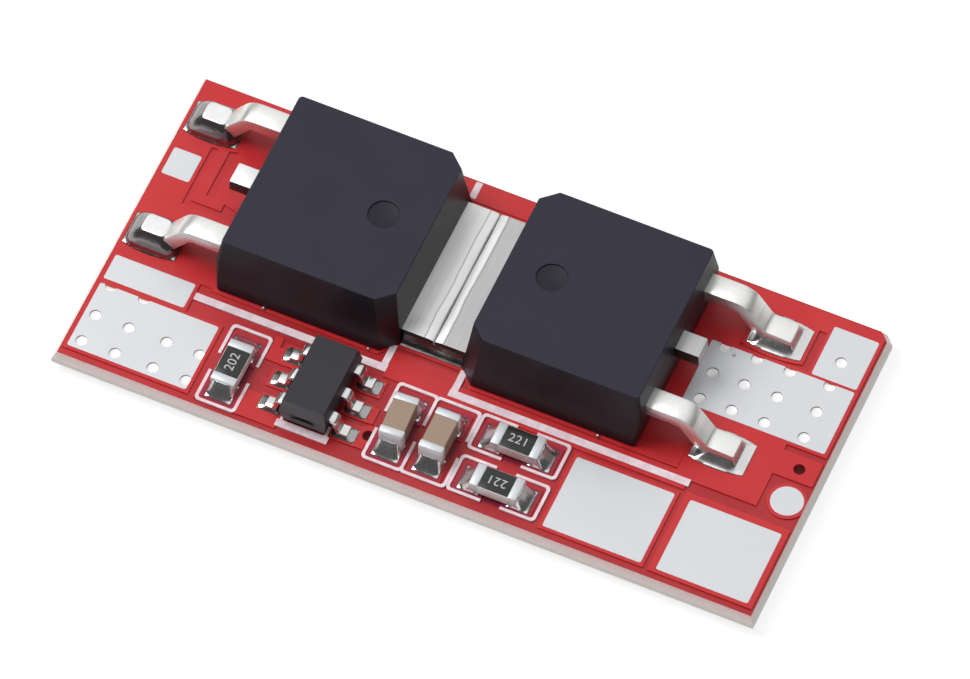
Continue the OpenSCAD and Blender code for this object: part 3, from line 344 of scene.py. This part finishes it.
FINISHES = {
    "mask": mask_finish(),
    "laminate": laminate_finish(),
    "tin": tin_finish(),
    "solder": solder_finish(),
    "lead_plating": plating_finish(),
    "copper": copper_finish(),
    "moulding": moulding_finish(),
    "ink": ink_finish(),
    "chip_moulding": chip_moulding_finish(),
    "tab": tab_finish(),
    "film": solder_finish("thin_solder_film", (0.20, 0.30), 0.9, (0.66, 0.80), 0.008),
    "mound": mound_finish(),
    # The via plugs are painted nearly white with little metal, as a painted glint.
    "plug": solder_finish("glint_painted_via_plug", (0.32, 0.4), 0.2, (0.94, 0.99), 0.004),
    # The solder at the drain tabs is painted very dark, as painted shade beside and under the tabs.
    "drain_joint": solder_finish("shade_painted_drain_solder", (0.2, 0.3), 0.9, (0.10, 0.20), 0.01),
    "digits": plain_finish("faded_digit_ink", (0.42, 0.42, 0.44), (0.62, 0.62, 0.64), 0.5, 0.04),
    # The chip's solder is painted dark grey, as a painted dark reflection.
    "chip_joint": solder_finish("reflection_painted_chip_solder", (0.18, 0.26), 0.9, (0.34, 0.48), 0.004),
    "fine_lead": solder_finish("bright_fine_lead", (0.16, 0.24), 0.95, (0.72, 0.84), 0.004),
    "barrel": plain_finish("red_via_wall", (0.34, 0.006, 0.006), (0.46, 0.012, 0.012), 0.6),
    "silicon": plain_finish("silicon", (0.20, 0.21, 0.25), (0.26, 0.27, 0.31), 0.3, metallic=0.3),
    "wire": plain_finish("bond_wire", (0.72, 0.72, 0.74), (0.80, 0.80, 0.82), 0.3, metallic=0.9),
    "alumina": plain_finish("white_alumina", (0.78, 0.77, 0.74), (0.88, 0.87, 0.84), 0.5),
    "glaze": plain_finish("black_glass_coat", (0.010, 0.012, 0.012), (0.020, 0.022, 0.022), 0.2),
    "dielectric": plain_finish("fired_dielectric", (0.30, 0.20, 0.14), (0.40, 0.29, 0.21), 0.45),
}

LOOKS = {"via_solder_plugs": "plug", "via_barrels": "barrel", "control_chip_leads": "fine_lead"}
slots = {s["node"]: s["material_slot"] for s in frame["record"]["subparts"]}
for name, node in frame["nodes"].items():
    node.data.materials.clear()
    node.data.materials.append(FINISHES[LOOKS.get(name, slots[name])])


# ------------------------------------------------------------ the workbench

# How near to a line or plane, in millimetres, counts as on it
CLOSE = 0.02


def only(piece=None):
    """Puts everything down, then picks up one piece."""
    bpy.ops.object.select_all(action="DESELECT")
    if piece:
        piece.select_set(True)
        bpy.context.view_layer.objects.active = piece


def block(name, low, high):
    """A box between two corners in millimetres, to shape further."""
    only()
    middle = [(a + b) / 2 * MM for a, b in zip(low, high)]
    size = [(b - a) * MM for a, b in zip(low, high)]
    bpy.ops.mesh.primitive_cube_add(size=1.0, location=middle, scale=size)
    piece = bpy.context.object
    piece.name = name
    bpy.ops.object.transform_apply(location=True, rotation=True, scale=True)
    return piece


class Bench:
    """A piece in edit mode. What an operator acts on is picked by its place in millimetres."""

    def __init__(self, piece):
        self.piece = piece

    def __enter__(self):
        only(self.piece)
        bpy.ops.object.mode_set(mode="EDIT")
        return self

    def __exit__(self, *problem):
        bpy.ops.object.mode_set(mode="OBJECT")

    def pick(self, kind, test):
        """Picks the corners, edges or faces whose middle (and the element itself) pass the test."""
        bpy.ops.mesh.select_mode(type=kind)
        bpy.ops.mesh.select_all(action="DESELECT")
        mesh = bmesh.from_edit_mesh(self.piece.data)
        items = {"VERT": mesh.verts, "EDGE": mesh.edges, "FACE": mesh.faces}[kind]
        for item in items:
            if kind == "VERT":
                middle = item.co / MM
            elif kind == "EDGE":
                middle = (item.verts[0].co + item.verts[1].co) / 2 / MM
            else:
                middle = item.calc_center_median() / MM
            if test(middle, item):
                item.select_set(True)
        mesh.select_flush_mode()
        bmesh.update_edit_mesh(self.piece.data)

    def everything(self):
        bpy.ops.mesh.select_all(action="SELECT")

    def move(self, x=0.0, y=0.0, z=0.0):
        bpy.ops.transform.translate(value=(x * MM, y * MM, z * MM))

    def draw_out(self, x=0.0, y=0.0, z=0.0):
        bpy.ops.mesh.extrude_region_move(TRANSFORM_OT_translate={"value": (x * MM, y * MM, z * MM)})

    def widen(self, x, y, z, about):
        bpy.ops.transform.resize(value=(x, y, z), center_override=[v * MM for v in about])

    def slice(self, point, normal):
        """Cuts a ring of edges where a plane crosses the piece."""
        self.everything()
        bpy.ops.mesh.bisect(plane_co=[v * MM for v in point], plane_no=normal)

    def round_off(self, width, steps=1):
        bpy.ops.mesh.bevel(offset=width * MM, segments=steps, offset_type="OFFSET")

    def spin(self, centre, axis, degrees, steps):
        """Draws the picked faces round an axis. Blender counts the angle the other way."""
        centre = [v * MM for v in centre]
        bpy.ops.mesh.spin(steps=steps, angle=-math.radians(degrees), center=centre, axis=axis)


def soften(piece, width, steps=2, sharp=25.0, smooth=40.0):
    """Rounds every edge that is sharper than an angle, then shades the piece smooth."""
    only(piece)
    rounding = piece.modifiers.new("rounding", "BEVEL")
    rounding.width = width * MM
    rounding.segments = steps
    rounding.limit_method = "ANGLE"
    rounding.angle_limit = math.radians(sharp)
    rounding.use_clamp_overlap = True
    bpy.ops.object.modifier_apply(modifier=rounding.name)
    bpy.ops.object.shade_smooth_by_angle(angle=math.radians(smooth))
    flats = piece.modifiers.new("flats", "WEIGHTED_NORMAL")
    flats.keep_sharp = True
    flats.weight = 90
    bpy.ops.object.modifier_apply(modifier=flats.name)


def punch(piece, tool):
    """Takes one shape out of another and throws the tool away."""
    only(piece)
    cut = piece.modifiers.new("cut", "BOOLEAN")
    cut.operation = "DIFFERENCE"
    cut.object = tool
    cut.solver = "EXACT"
    bpy.ops.object.modifier_apply(modifier=cut.name)
    bpy.data.objects.remove(tool)


def round_bar(name, centre, radius, height, sides=48):
    only()
    bpy.ops.mesh.primitive_cylinder_add(vertices=sides, radius=radius * MM, depth=height * MM,
                                        location=[v * MM for v in centre])
    bar = bpy.context.object
    bar.name = name
    bpy.ops.object.transform_apply(location=True, rotation=True, scale=True)
    return bar


def fresh_copy(piece, name):
    copy = bpy.data.objects.new(name, piece.data.copy())
    scene.collection.objects.link(copy)
    return copy


def another(piece, name, shift=(0, 0, 0), about=None):
    """A copy with its own mesh, shifted, and turned half round about a point if one is given."""
    copy = fresh_copy(piece, name)
    only(copy)
    if about:
        bpy.ops.transform.rotate(value=math.pi, orient_axis="Z", center_override=[v * MM for v in about])
    bpy.ops.transform.translate(value=[v * MM for v in shift])
    bpy.ops.object.transform_apply(location=True, rotation=True, scale=True)
    return copy


def join(pieces):
    only(pieces[0])
    for piece in pieces[1:]:
        piece.select_set(True)
    bpy.ops.object.join()
    return bpy.context.object


def finished(piece, slot, *nodes, look=None):
    """Gives a piece its finish and its place on the board, and hides the nodes it stands for."""
    piece.data.materials.clear()
    piece.data.materials.append(FINISHES[look or slot])
    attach(piece, "root")
    if nodes:
        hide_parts(*nodes)
    return piece


def softened(node, width, steps=2, smooth=12.0):
    """A copy of a CAD node with its edges rounded, as plating, ink and mask leave them."""
    piece = fresh_copy(frame["nodes"][node], node + "_soft")
    with Bench(piece) as bench:
        bench.everything()
        bpy.ops.mesh.remove_doubles(threshold=0.0005 * MM)
        bpy.ops.mesh.dissolve_limited(angle_limit=math.radians(0.5))
    soften(piece, width, steps, smooth=smooth)
    return finished(piece, slots[node], node, look=LOOKS.get(node))


# ------------------------------------------------------------ power switches

MOULD_LOW, MOULD_HIGH = box_of("right_switch_body")
ROW = (MOULD_LOW[1] + MOULD_HIGH[1]) / 2
SEAT = MOULD_LOW[2]
CENTRE = (SEAM, ROW, 0)
LEAD_RISE, LEAD_THICK, LEAD_WIDE, LEAD_PITCH = 1.02, 0.5, 0.76, 2.286
LEAD_ROOT, LEAD_BEND, LEAD_TIP = MOULD_HIGH[0] - 0.3, SEAM + 8.15, SEAM + 10.13
STUB_TIP = SEAM + 7.96
FAR_ROW = ROW + LEAD_PITCH
PARTING = SEAT + LEAD_RISE + LEAD_THICK / 2


def switch_moulding():
    """The drafted moulding of the right switch: chamfered at the tab, broken at the leads."""
    low, high = MOULD_LOW, MOULD_HIGH
    tab_chamfer, lead_chamfer = 0.52, 0.13
    side_draft, tab_draft, lead_draft, foot_draft = 0.66, 0.28, 0.16, 0.08
    mark_place, mark_radius, mark_depth = 1.82, 0.5, 0.06
    waist = (low[2] + high[2]) / 2
    tab_end, lead_end = low[0] + 0.6, high[0] - 0.4
    piece = block("right_switch_moulding", low, high)
    with Bench(piece) as bench:
        bench.pick("EDGE", lambda m, e: abs(m.z - waist) < CLOSE and m.x < tab_end)
        bench.round_off(tab_chamfer)
        bench.pick("EDGE", lambda m, e: abs(m.z - waist) < CLOSE and m.x > lead_end)
        bench.round_off(lead_chamfer, 3)
        # Draft: the top is narrower, and drawn in at both ends
        bench.pick("FACE", lambda m, f: m.z > high[2] - CLOSE)
        wide = high[1] - low[1]
        bench.widen(1, (wide - side_draft) / wide, 1, (0, ROW, high[2]))
        bench.pick("VERT", lambda m, v: m.z > high[2] - CLOSE and m.x < tab_end)
        bench.move(x=tab_draft)
        bench.pick("VERT", lambda m, v: m.z > high[2] - CLOSE and m.x > lead_end)
        bench.move(x=-lead_draft)
        # The lead end stands out furthest at the parting line
        bench.slice((0, 0, PARTING), (0, 0, 1))
        share = (PARTING - low[2]) / (high[2] - low[2])
        bench.pick("VERT", lambda m, v: abs(m.z - PARTING) < CLOSE and m.x > lead_end)
        bench.move(x=lead_draft * share)
        bench.pick("VERT", lambda m, v: m.z < low[2] + CLOSE and m.x > lead_end)
        bench.move(x=-foot_draft)
    mark = round_bar("ejector_mark", (low[0] + mark_place, ROW, high[2]), mark_radius, 2 * mark_depth)
    punch(piece, mark)
    soften(piece, 0.035, 2)
    return piece


def switch_lead():
    """The far lead of the right switch: flat out of the moulding, bent down, and flat on its pad."""
    base = SEAT + LEAD_RISE
    bend, inner, steps, toe_loss = 55, 0.25, 6, 0.05
    outer = inner + LEAD_THICK
    slope = math.radians(bend)
    leg = (LEAD_RISE - (inner + outer) * (1 - math.cos(slope))) / math.sin(slope)
    along = Vector((math.cos(slope), 0, -math.sin(slope)))
    across = Vector((math.sin(slope), 0, math.cos(slope)))
    first_centre = Vector((LEAD_BEND, FAR_ROW, base - inner))
    second_centre = first_centre + across * inner + along * leg + across * outer
    piece = block("right_switch_far_lead", (LEAD_ROOT, FAR_ROW - LEAD_WIDE / 2, base),
                  (LEAD_BEND, FAR_ROW + LEAD_WIDE / 2, base + LEAD_THICK))
    with Bench(piece) as bench:
        bench.pick("FACE", lambda m, f: m.x > LEAD_BEND - CLOSE)
        bench.spin(first_centre, (0, 1, 0), bend, steps)
        bench.draw_out(*(along * leg))
        bench.spin(second_centre, (0, 1, 0), -bend, steps)
        bench.draw_out(x=LEAD_TIP - second_centre.x)
        # The trimmed toe is a little thinner than the rest
        bench.pick("EDGE", lambda m, e: m.x > LEAD_TIP - CLOSE and m.z > SEAT + LEAD_THICK - CLOSE)
        bench.move(z=-toe_loss)
    soften(piece, 0.05, 2, 35)
    return piece


def switch_tab():
    """The drain tab and the cut middle lead of the right switch."""
    top = SEAT + LEAD_THICK
    half_wide, seam_gap, coin_drop = 2.575, 0.02, 0.035
    coin_lines = (0.24, 0.34)
    tab = block("right_switch_tab", (SEAM + seam_gap, ROW - half_wide, SEAT),
                (MOULD_LOW[0] + 0.4, ROW + half_wide, top))
    with Bench(tab) as bench:
        for place in coin_lines:
            bench.slice((SEAM + place, 0, 0), (1, 0, 0))
        bench.pick("EDGE", lambda m, e: m.x < SEAM + 2 * seam_gap and m.z > top - CLOSE)
        bench.move(z=-coin_drop)
        # The seam wanders a little
        for place, shift in ((-1.6, 0.012), (0.2, -0.01), (1.7, 0.014)):
            bench.slice((0, ROW + place, 0), (0, 1, 0))
            bench.pick("VERT", lambda m, v: m.x < SEAM + 2 * seam_gap and abs(m.y - ROW - place) < CLOSE)
            bench.move(x=shift)
    soften(tab, 0.03, 2)
    base, lean = SEAT + LEAD_RISE, 0.03
    stub = block("stub", (LEAD_ROOT, ROW - LEAD_WIDE / 2, base),
                 (STUB_TIP, ROW + LEAD_WIDE / 2, base + LEAD_THICK))
    with Bench(stub) as bench:
        bench.pick("EDGE", lambda m, e: m.x > STUB_TIP - CLOSE and m.z < base + CLOSE)
        bench.move(x=lean)
    soften(stub, 0.045, 2)
    return join([tab, stub])


moulding = switch_moulding()
lead = switch_lead()
tab = switch_tab()
finished(another(moulding, "left_switch_moulding", about=CENTRE), "moulding", "left_switch_body")
finished(another(lead, "left_switch_near_lead", about=CENTRE), "lead_plating", "left_switch_source_lead")
finished(another(lead, "left_switch_far_lead", (0, 2 * LEAD_PITCH, 0), CENTRE), "lead_plating",
         "left_switch_gate_lead")
finished(another(lead, "right_switch_near_lead", (0, -2 * LEAD_PITCH, 0)), "lead_plating",
         "right_switch_gate_lead")
finished(another(tab, "left_switch_tab", about=CENTRE), "lead_plating", "left_switch_drain_frame",
         look="tab")
finished(moulding, "moulding", "right_switch_body")
finished(lead, "lead_plating", "right_switch_source_lead")
finished(tab, "lead_plating", "right_switch_drain_frame", look="tab")


# -------------------------------------------------------------------- solder

COPPER = box_of("copper_top")[1][2]


def fillet(name, pad, foot, climb, film=0.05, corner=0.1, bulge=0.0, steps=7, hollow=2.4):
    """Solder that rises in a hollow slope from a pad's outline to the piece that stands on it.

    Pad and foot are (left, near, right, far) in millimetres, and a bulge rounds the pad's long sides.
    """
    piece = block(name, (pad[0], pad[1], COPPER), (pad[2], pad[3], COPPER + film))
    with Bench(piece) as bench:
        if bulge:
            middle, half = (pad[0] + pad[2]) / 2, (pad[2] - pad[0]) / 2
            row = (pad[1] + pad[3]) / 2
            bench.pick("EDGE", lambda m, e: abs(m.x - middle) < CLOSE and m.y < pad[1] + CLOSE)
            bpy.ops.mesh.subdivide(number_cuts=7)
            bench.pick("EDGE", lambda m, e: abs(m.x - middle) < CLOSE and m.y > pad[3] - CLOSE)
            bpy.ops.mesh.subdivide(number_cuts=7)
            for step in range(-4, 5):
                place = step / 4
                x = middle + half * place
                inward = bulge * place ** 2
                bench.pick("VERT", lambda m, v: abs(m.x - x) < CLOSE and m.y < row)
                bench.move(y=inward)
                bench.pick("VERT", lambda m, v: abs(m.x - x) < CLOSE and m.y > row)
                bench.move(y=-inward)
        else:
            bench.pick("EDGE", lambda m, e: abs(m.z - COPPER - film / 2) < CLOSE / 4)
            bench.round_off(corner, 3)
        now = list(pad)
        level = COPPER + film
        for step in range(1, steps + 1):
            share = step / steps
            then = [a + (b - a) * share for a, b in zip(pad, foot)]
            rise = COPPER + film + (climb - film) * share ** hollow
            bench.pick("FACE", lambda m, f: m.z > level - CLOSE / 8 and f.normal.z > 0.9)
            bench.draw_out(z=rise - level)
            wider, deeper = ((then[k + 2] - then[k]) / (now[k + 2] - now[k]) for k in (0, 1))
            bench.widen(wider, deeper, 1, ((now[0] + now[2]) / 2, (now[1] + now[3]) / 2, rise))
            bench.move(*((then[k] + then[k + 2] - now[k] - now[k + 2]) / 2 for k in (0, 1)))
            now, level = then, rise
    only(piece)
    bpy.ops.object.shade_smooth_by_angle(angle=math.radians(60))
    return piece


def enlarge(piece, factor):
    only(piece)
    bpy.ops.transform.resize(value=(factor,) * 3, center_override=(0, 0, 0))
    bpy.ops.object.transform_apply(location=True, rotation=True, scale=True)


def flowed(piece, grain=0.03, passes=6):
    """Melts the parts of a solder joint into one smooth skin, worked large and then brought back."""
    enlarge(piece, 1 / MM)
    skin = piece.modifiers.new("skin", "REMESH")
    skin.mode = "VOXEL"
    skin.voxel_size = grain
    skin.use_smooth_shade = True
    bpy.ops.object.modifier_apply(modifier=skin.name)
    calm = piece.modifiers.new("calm", "SMOOTH")
    calm.factor = 0.5
    calm.iterations = passes
    bpy.ops.object.modifier_apply(modifier=calm.name)
    enlarge(piece, MM)
    return piece


def film(name, pad, thick=0.045, corner=0.06):
    """The thin skin of solder that wets a whole pad."""
    piece = block(name, (pad[0], pad[1], COPPER), (pad[2], pad[3], COPPER + thick))
    with Bench(piece) as bench:
        bench.pick("EDGE", lambda m, e: abs(m.z - COPPER - thick / 2) < CLOSE / 4)
        bench.round_off(corner, 3)
    return piece


def lead_solder(mound):
    """A far lead's joint: a tight hollow fillet, or a mound over the whole foot."""
    row, tip, half = FAR_ROW, LEAD_TIP, LEAD_WIDE / 2
    toe = tip + 0.42
    pad = (toe - 1.85, row - 0.72, toe, row + 0.72)
    low_foot = (tip - 1.0, row - half - 0.06, tip + 0.05, row + half + 0.06)
    skirt = fillet("joint_skirt", pad, low_foot, 0.10, bulge=0.12, hollow=4.0)
    if mound:
        base = (tip - 1.38, row - 0.66, tip + 0.34, row + 0.66)
        crown = (tip - 0.96, row - 0.34, tip - 0.12, row + 0.34)
        climb = SEAT + LEAD_THICK + 0.16 - COPPER
        heap = fillet("joint_mound", base, crown, climb, corner=0.34, hollow=0.6, steps=12)
        return flowed(join([skirt, heap]), passes=14)
    base = (tip - 1.32, row - half - 0.30, tip + 0.16, row + half + 0.16)
    foot = (tip - 0.80, row - half + 0.06, tip - 0.06, row + half - 0.06)
    hug = fillet("joint_hug", base, foot, 0.40, corner=0.14, hollow=1.5)
    return flowed(join([skirt, hug]), passes=5)


def switch_joints(name, mound):
    """The joints of both outer leads of the right switch."""
    first = lead_solder(mound)
    both = join([first, another(first, "near_joint", (0, -2 * LEAD_PITCH, 0))])
    both.name = name
    return both


left_joints = switch_joints("left_pattern", True)
finished(another(left_joints, "left_switch_lead_solder", about=CENTRE), "solder", "left_switch_solder",
         look="mound")
bpy.data.objects.remove(left_joints)
finished(switch_joints("right_switch_lead_solder", False), "solder", "right_switch_solder", look="film")


def drain_joint():
    """Solder under and beside the two tabs, and under the paddles inside the mouldings."""
    reach, half_pad, half_tab, half_paddle = 1.03, 2.825, 2.56, 2.3
    pad = (SEAM - reach, ROW - half_pad, SEAM + reach, ROW + half_pad)
    foot = (SEAM - reach + 0.01, ROW - half_tab, SEAM + reach - 0.01, ROW + half_tab)
    tabs = fillet("drain_joint", pad, foot, 0.37, corner=0.02)
    low, high = box_of("drain_solder")
    paddles = block("paddle_joint", (low[0], ROW - half_paddle, COPPER), (high[0], ROW + half_paddle, SEAT))
    with Bench(paddles) as bench:
        bench.pick("EDGE", lambda m, e: abs(m.z - (COPPER + SEAT) / 2) < CLOSE / 4)
        bench.round_off(0.2, 3)
    return join([tabs, paddles])


finished(drain_joint(), "solder", "drain_solder", look="drain_joint")


# -------------------------------------------------------------- control chip

def chip_moulding():
    """Drawn in above and below its waist, with the gate mark in its near end."""
    low, high = box_of("control_chip_body")
    waist = (low[2] + high[2]) / 2
    piece = block("control_chip_moulding", low, high)
    wide, deep = high[0] - low[0], high[1] - low[1]
    middle = (*middle_of("control_chip_body"), waist)
    draft = 0.2
    with Bench(piece) as bench:
        bench.slice((0, 0, waist), (0, 0, 1))
        bench.pick("FACE", lambda m, f: abs(m.z - waist) > 0.4)
        bench.widen((wide - draft) / wide, (deep - draft) / deep, 1, middle)
    mark = round_bar("gate_mark", (middle[0], low[1] - 0.01, waist - 0.10), 0.15, 0.26, 24)
    with Bench(mark) as bench:
        bench.everything()
        bench.widen(3, 1, 1, (middle[0], 0, 0))
    punch(piece, mark)
    soften(piece, 0.03, 2)
    return piece


finished(chip_moulding(), "moulding", "control_chip_body", look="chip_moulding")
softened("control_chip_leads", 0.025, smooth=40)


def chip_joints():
    """A small joint at each of the six leads."""
    right_edge = box_of("control_chip_solder")[1][0]
    middle = middle_of("control_chip_solder")
    pitch, half_pad, half_foot = 0.95, 0.275, 0.17
    joints = []
    for row in (-1, 0, 1):
        y = middle[1] + pitch * row
        pad = (right_edge - 0.8, y - half_pad, right_edge, y + half_pad)
        foot = (right_edge - 0.62, y - half_foot, right_edge - 0.28, y + half_foot)
        joints.append(film(f"chip_film_{row + 2}", pad, corner=0.12))
        joints.append(fillet(f"chip_joint_{row + 2}", pad, foot, 0.155, corner=0.2, steps=6, hollow=1.2))
    right = flowed(join(joints), 0.02, 3)
    left = another(right, "left_chip_joints", about=(*middle, 0))
    return join([right, left])


finished(chip_joints(), "solder", "control_chip_solder", look="chip_joint")


# ---------------------------------------------------------------- chip parts

RESISTOR_TALL, CAPACITOR_TALL = 0.45, 0.8


def patch(side, inner, outer, half_wide):
    """(left, near, right, far) of a patch between two distances on one side of the middle."""
    left, right = sorted((side * inner, side * outer))
    return left, -half_wide, right, half_wide


def chip_part(kind, tall, edge):
    """Terminals and solder of a chip part, lying along X with its middle at the origin."""
    ends = []
    joints = []
    for side in (-1, 1):
        left, near, right, far = patch(side, 0.49, 0.8, 0.405)
        end = block(f"{kind}_end", (left, near, SEAT), (right, far, SEAT + tall))
        with Bench(end) as bench:
            bench.pick("EDGE", lambda m, e: abs(m.x) > 0.8 - CLOSE)
            bench.round_off(edge, 3)
            # The plating's inner line wavers a little at its corners
            bench.slice((side * 0.56, 0, 0), (1, 0, 0))
            bench.pick("VERT", lambda m, v: abs(m.x) < 0.5 and abs(m.y) > 0.3)
            bench.move(x=side * 0.02)
        soften(end, edge * 0.4, 2, 50)
        ends.append(end)
        pad = patch(side, 0.45, 1.2, 0.45)
        foot = patch(side, 0.5, 0.82, 0.33)
        joints.append(film(f"{kind}_film", pad))
        joints.append(fillet(f"{kind}_joint", pad, foot, 0.47, corner=0.26, steps=9, hollow=1.3))
    return join(ends), flowed(join(joints), 0.022, 4)


def placed(piece, name, place, quarter_turns, lean=0.0):
    """A copy of a part modelled at the origin, turned and put in its place."""
    copy = fresh_copy(piece, name)
    copy.rotation_euler[2] = math.radians(90 * quarter_turns + lean)
    copy.location = (place[0] * MM, place[1] * MM, 0)
    only(copy)
    bpy.ops.object.transform_apply(location=True, rotation=True, scale=True)
    return copy


def soft_bar(name, low, high, edge, steps=3):
    """A bar between two corners in millimetres, with its edges rounded."""
    bar = block(name, low, high)
    with Bench(bar) as bench:
        bench.pick("FACE", lambda m, f: abs(f.normal.x) > 0.9)
        bpy.ops.mesh.inset(thickness=edge * 0.5 * MM)
    soften(bar, edge, steps)
    return bar


def raised_digits(code):
    """Plain digits lying on a resistor's cover, with their middle at the origin."""
    only()
    bpy.ops.object.text_add(location=(0, 0, 0))
    digits = bpy.context.object
    digits.data.body = code
    digits.data.size = 0.43 * MM
    digits.data.align_x = "CENTER"
    digits.data.align_y = "CENTER"
    digits.data.space_character = 1.05
    digits.data.extrude = 0.003 * MM
    only(digits)
    bpy.ops.object.convert(target="MESH")
    digits = bpy.context.object
    digits.location = (0, 0, (SEAT + RESISTOR_TALL + 0.002) * MM)
    bpy.ops.object.transform_apply(location=True, rotation=True, scale=True)
    return digits


resistor_ends, resistor_joints = chip_part("resistor", RESISTOR_TALL, 0.04)
resistor_body = soft_bar("resistor_body", (-0.77, -0.4, SEAT + 0.02), (0.77, 0.4, SEAT + 0.43), 0.02)
resistor_cover = soft_bar("resistor_cover", (-0.5, -0.385, SEAT + 0.40),
                          (0.5, 0.385, SEAT + RESISTOR_TALL), 0.02)
capacitor_ends, capacitor_joints = chip_part("capacitor", CAPACITOR_TALL, 0.08)
capacitor_body = soft_bar("capacitor_body", (-0.77, -0.385, SEAT + 0.02), (0.77, 0.385, SEAT + 0.775), 0.07)

# Number, quarter turns and digits of each resistor
for number, turns, code in ((1, 1, "202"), (2, 0, "221"), (3, 2, "221")):
    name = f"resistor_{number}"
    place = middle_of(name + "_ceramic")
    finished(placed(resistor_body, name + "_body", place, turns), "alumina", name + "_ceramic")
    finished(placed(resistor_cover, name + "_cover", place, turns), "glaze", name + "_coat")
    finished(placed(resistor_ends, name + "_ends", place, turns), "tin", name + "_terminals")
    finished(placed(resistor_joints, name + "_joints", place, turns), "solder", name + "_solder")
    digits = raised_digits(code)
    finished(placed(digits, name + "_digits", place, turns), "ink", look="digits")
    bpy.data.objects.remove(digits)

# Number and lean in degrees of each capacitor: the first was set down a little crooked
for number, lean in ((1, 3.0), (2, 0.0)):
    name = f"capacitor_{number}"
    place = middle_of(name + "_ceramic")
    finished(placed(capacitor_body, name + "_body", place, 1, lean), "dielectric", name + "_ceramic")
    finished(placed(capacitor_ends, name + "_ends", place, 1, lean), "tin", name + "_terminals")
    finished(placed(capacitor_joints, name + "_joints", place, 1), "solder", name + "_solder")

for pattern in (resistor_body, resistor_cover, resistor_ends, resistor_joints, capacitor_body,
                capacitor_ends, capacitor_joints):
    bpy.data.objects.remove(pattern)


# --------------------------------------------------------------- board layers

PADS = ("square_pad", "narrow_pad", "left_via_pad", "right_via_pad", "corner_pad", "left_wire_pad",
        "right_wire_pad", "round_pad")
for pad in PADS:
    softened(pad, 0.015)
softened("solder_mask_top", 0.02)
softened("via_solder_plugs", 0.02, smooth=40)
softened("silkscreen", 0.008, 1)


def solder_specks():
    """Stray beads of solder on the mask."""
    beads = []
    top = box_of("solder_mask_top")[1][2]
    for x, y, size in ((-6.48, -1.55, 0.06), (-2.9, -1.57, 0.05), (4.87, -1.58, 0.06), (7.55, 2.85, 0.05)):
        only()
        bpy.ops.mesh.primitive_uv_sphere_add(segments=16, ring_count=10, radius=size * MM,
                                             location=(x * MM, y * MM, (top + size * 0.7) * MM))
        bead = bpy.context.object
        bpy.ops.object.transform_apply(location=True, rotation=True, scale=True)
        with Bench(bead) as bench:
            bench.pick("VERT", lambda m, v: m.z < top + 0.02)
            bench.widen(1.3, 1.3, 0.2, (x, y, top))
        only(bead)
        bpy.ops.object.shade_smooth()
        beads.append(bead)
    beads = join(beads)
    beads.name = "solder_specks"
    return beads


finished(solder_specks(), "solder")


# ------------------------------------------------------------ camera and studio

def look_from(azimuth, elevation, roll, distance, target):
    """A camera that far from the target, at those angles in degrees."""
    a, e = math.radians(azimuth), math.radians(elevation)
    back = Vector((math.sin(a) * math.cos(e), -math.cos(a) * math.cos(e), math.sin(e)))
    turn = (-back).to_track_quat("-Z", "Y").to_matrix().to_4x4()
    turn = turn @ Matrix.Rotation(math.radians(roll), 4, "Z")
    return Matrix.Translation(target + back * distance) @ turn


camera_data = bpy.data.cameras.new("camera")
camera = bpy.data.objects.new("camera", camera_data)
scene.collection.objects.link(camera)
scene.camera = camera
camera_data.sensor_width = 36.0
camera_data.lens = 387.06
camera_data.clip_start = 0.01
camera_data.clip_end = 10.0
camera.matrix_world = look_from(azimuth=23.115, elevation=57.869, roll=0.808, distance=0.3239,
                                target=Vector((0.2637, 0.2309, 0.86)) * MM)


def area_light(name, place, size, power):
    """A square soft box at a place in metres that faces the board."""
    data = bpy.data.lights.new(name, "AREA")
    data.size = size
    data.energy = power
    light = bpy.data.objects.new(name, data)
    turn = (-Vector(place)).to_track_quat("-Z", "Y").to_matrix().to_4x4()
    light.matrix_world = Matrix.Translation(place) @ turn
    scene.collection.objects.link(light)


area_light("top_box", place=(-0.20, -0.02, 0.28), size=0.20, power=0.75)


def backdrop(strength, shadow_share):
    """A pale floor that shows white to the camera and in gloss, and keeps a soft shadow."""
    wide, gap = 6.0, 0.00002
    only()
    bpy.ops.mesh.primitive_plane_add(size=wide, location=(0, 0, -gap))
    floor = bpy.context.object
    floor.name = "floor"
    f = Finish("pale_floor")
    diffuse = f.node("ShaderNodeBsdfDiffuse", {}, {"Color": (0.92, 0.92, 0.92, 1)})
    glow = f.node("ShaderNodeEmission", {}, {"Color": (1, 1, 1, 1), "Strength": strength})
    rays = ("Is Camera Ray", "Is Glossy Ray", "Is Transmission Ray")
    camera_ray, glossy_ray, through_ray = (f.node("ShaderNodeLightPath", {}, {}, ray) for ray in rays)
    seen = f.span(camera_ray + glossy_ray + through_ray, 0, 1)
    both = f.node("ShaderNodeMixShader", {}, {0: seen * (1 - shadow_share), 1: diffuse, 2: glow})
    f.end(both)
    floor.data.materials.append(f.material)


backdrop(strength=1.08, shadow_share=0.25)


def studio_sky(overhead, low_down):
    """A soft tent of light: bright overhead, dim low down on the near side."""
    world = bpy.data.worlds.new("studio")
    scene.world = world
    world.use_nodes = True
    sky = Wiring(world.node_tree)
    way = sky.node("ShaderNodeTexCoord", {}, {}, "Generated")
    toward = sky.part(way, "Z") * 0.94 + sky.part(way, "Y") * 0.34
    strength = sky.span(toward, 0.45, 0.85, low_down, overhead)
    tent = sky.node("ShaderNodeBackground", {}, {"Color": (1, 1, 1, 1), "Strength": strength})
    sky.end(tent, "ShaderNodeOutputWorld")


studio_sky(overhead=0.95, low_down=0.05)

scene.view_settings.view_transform = "Standard"
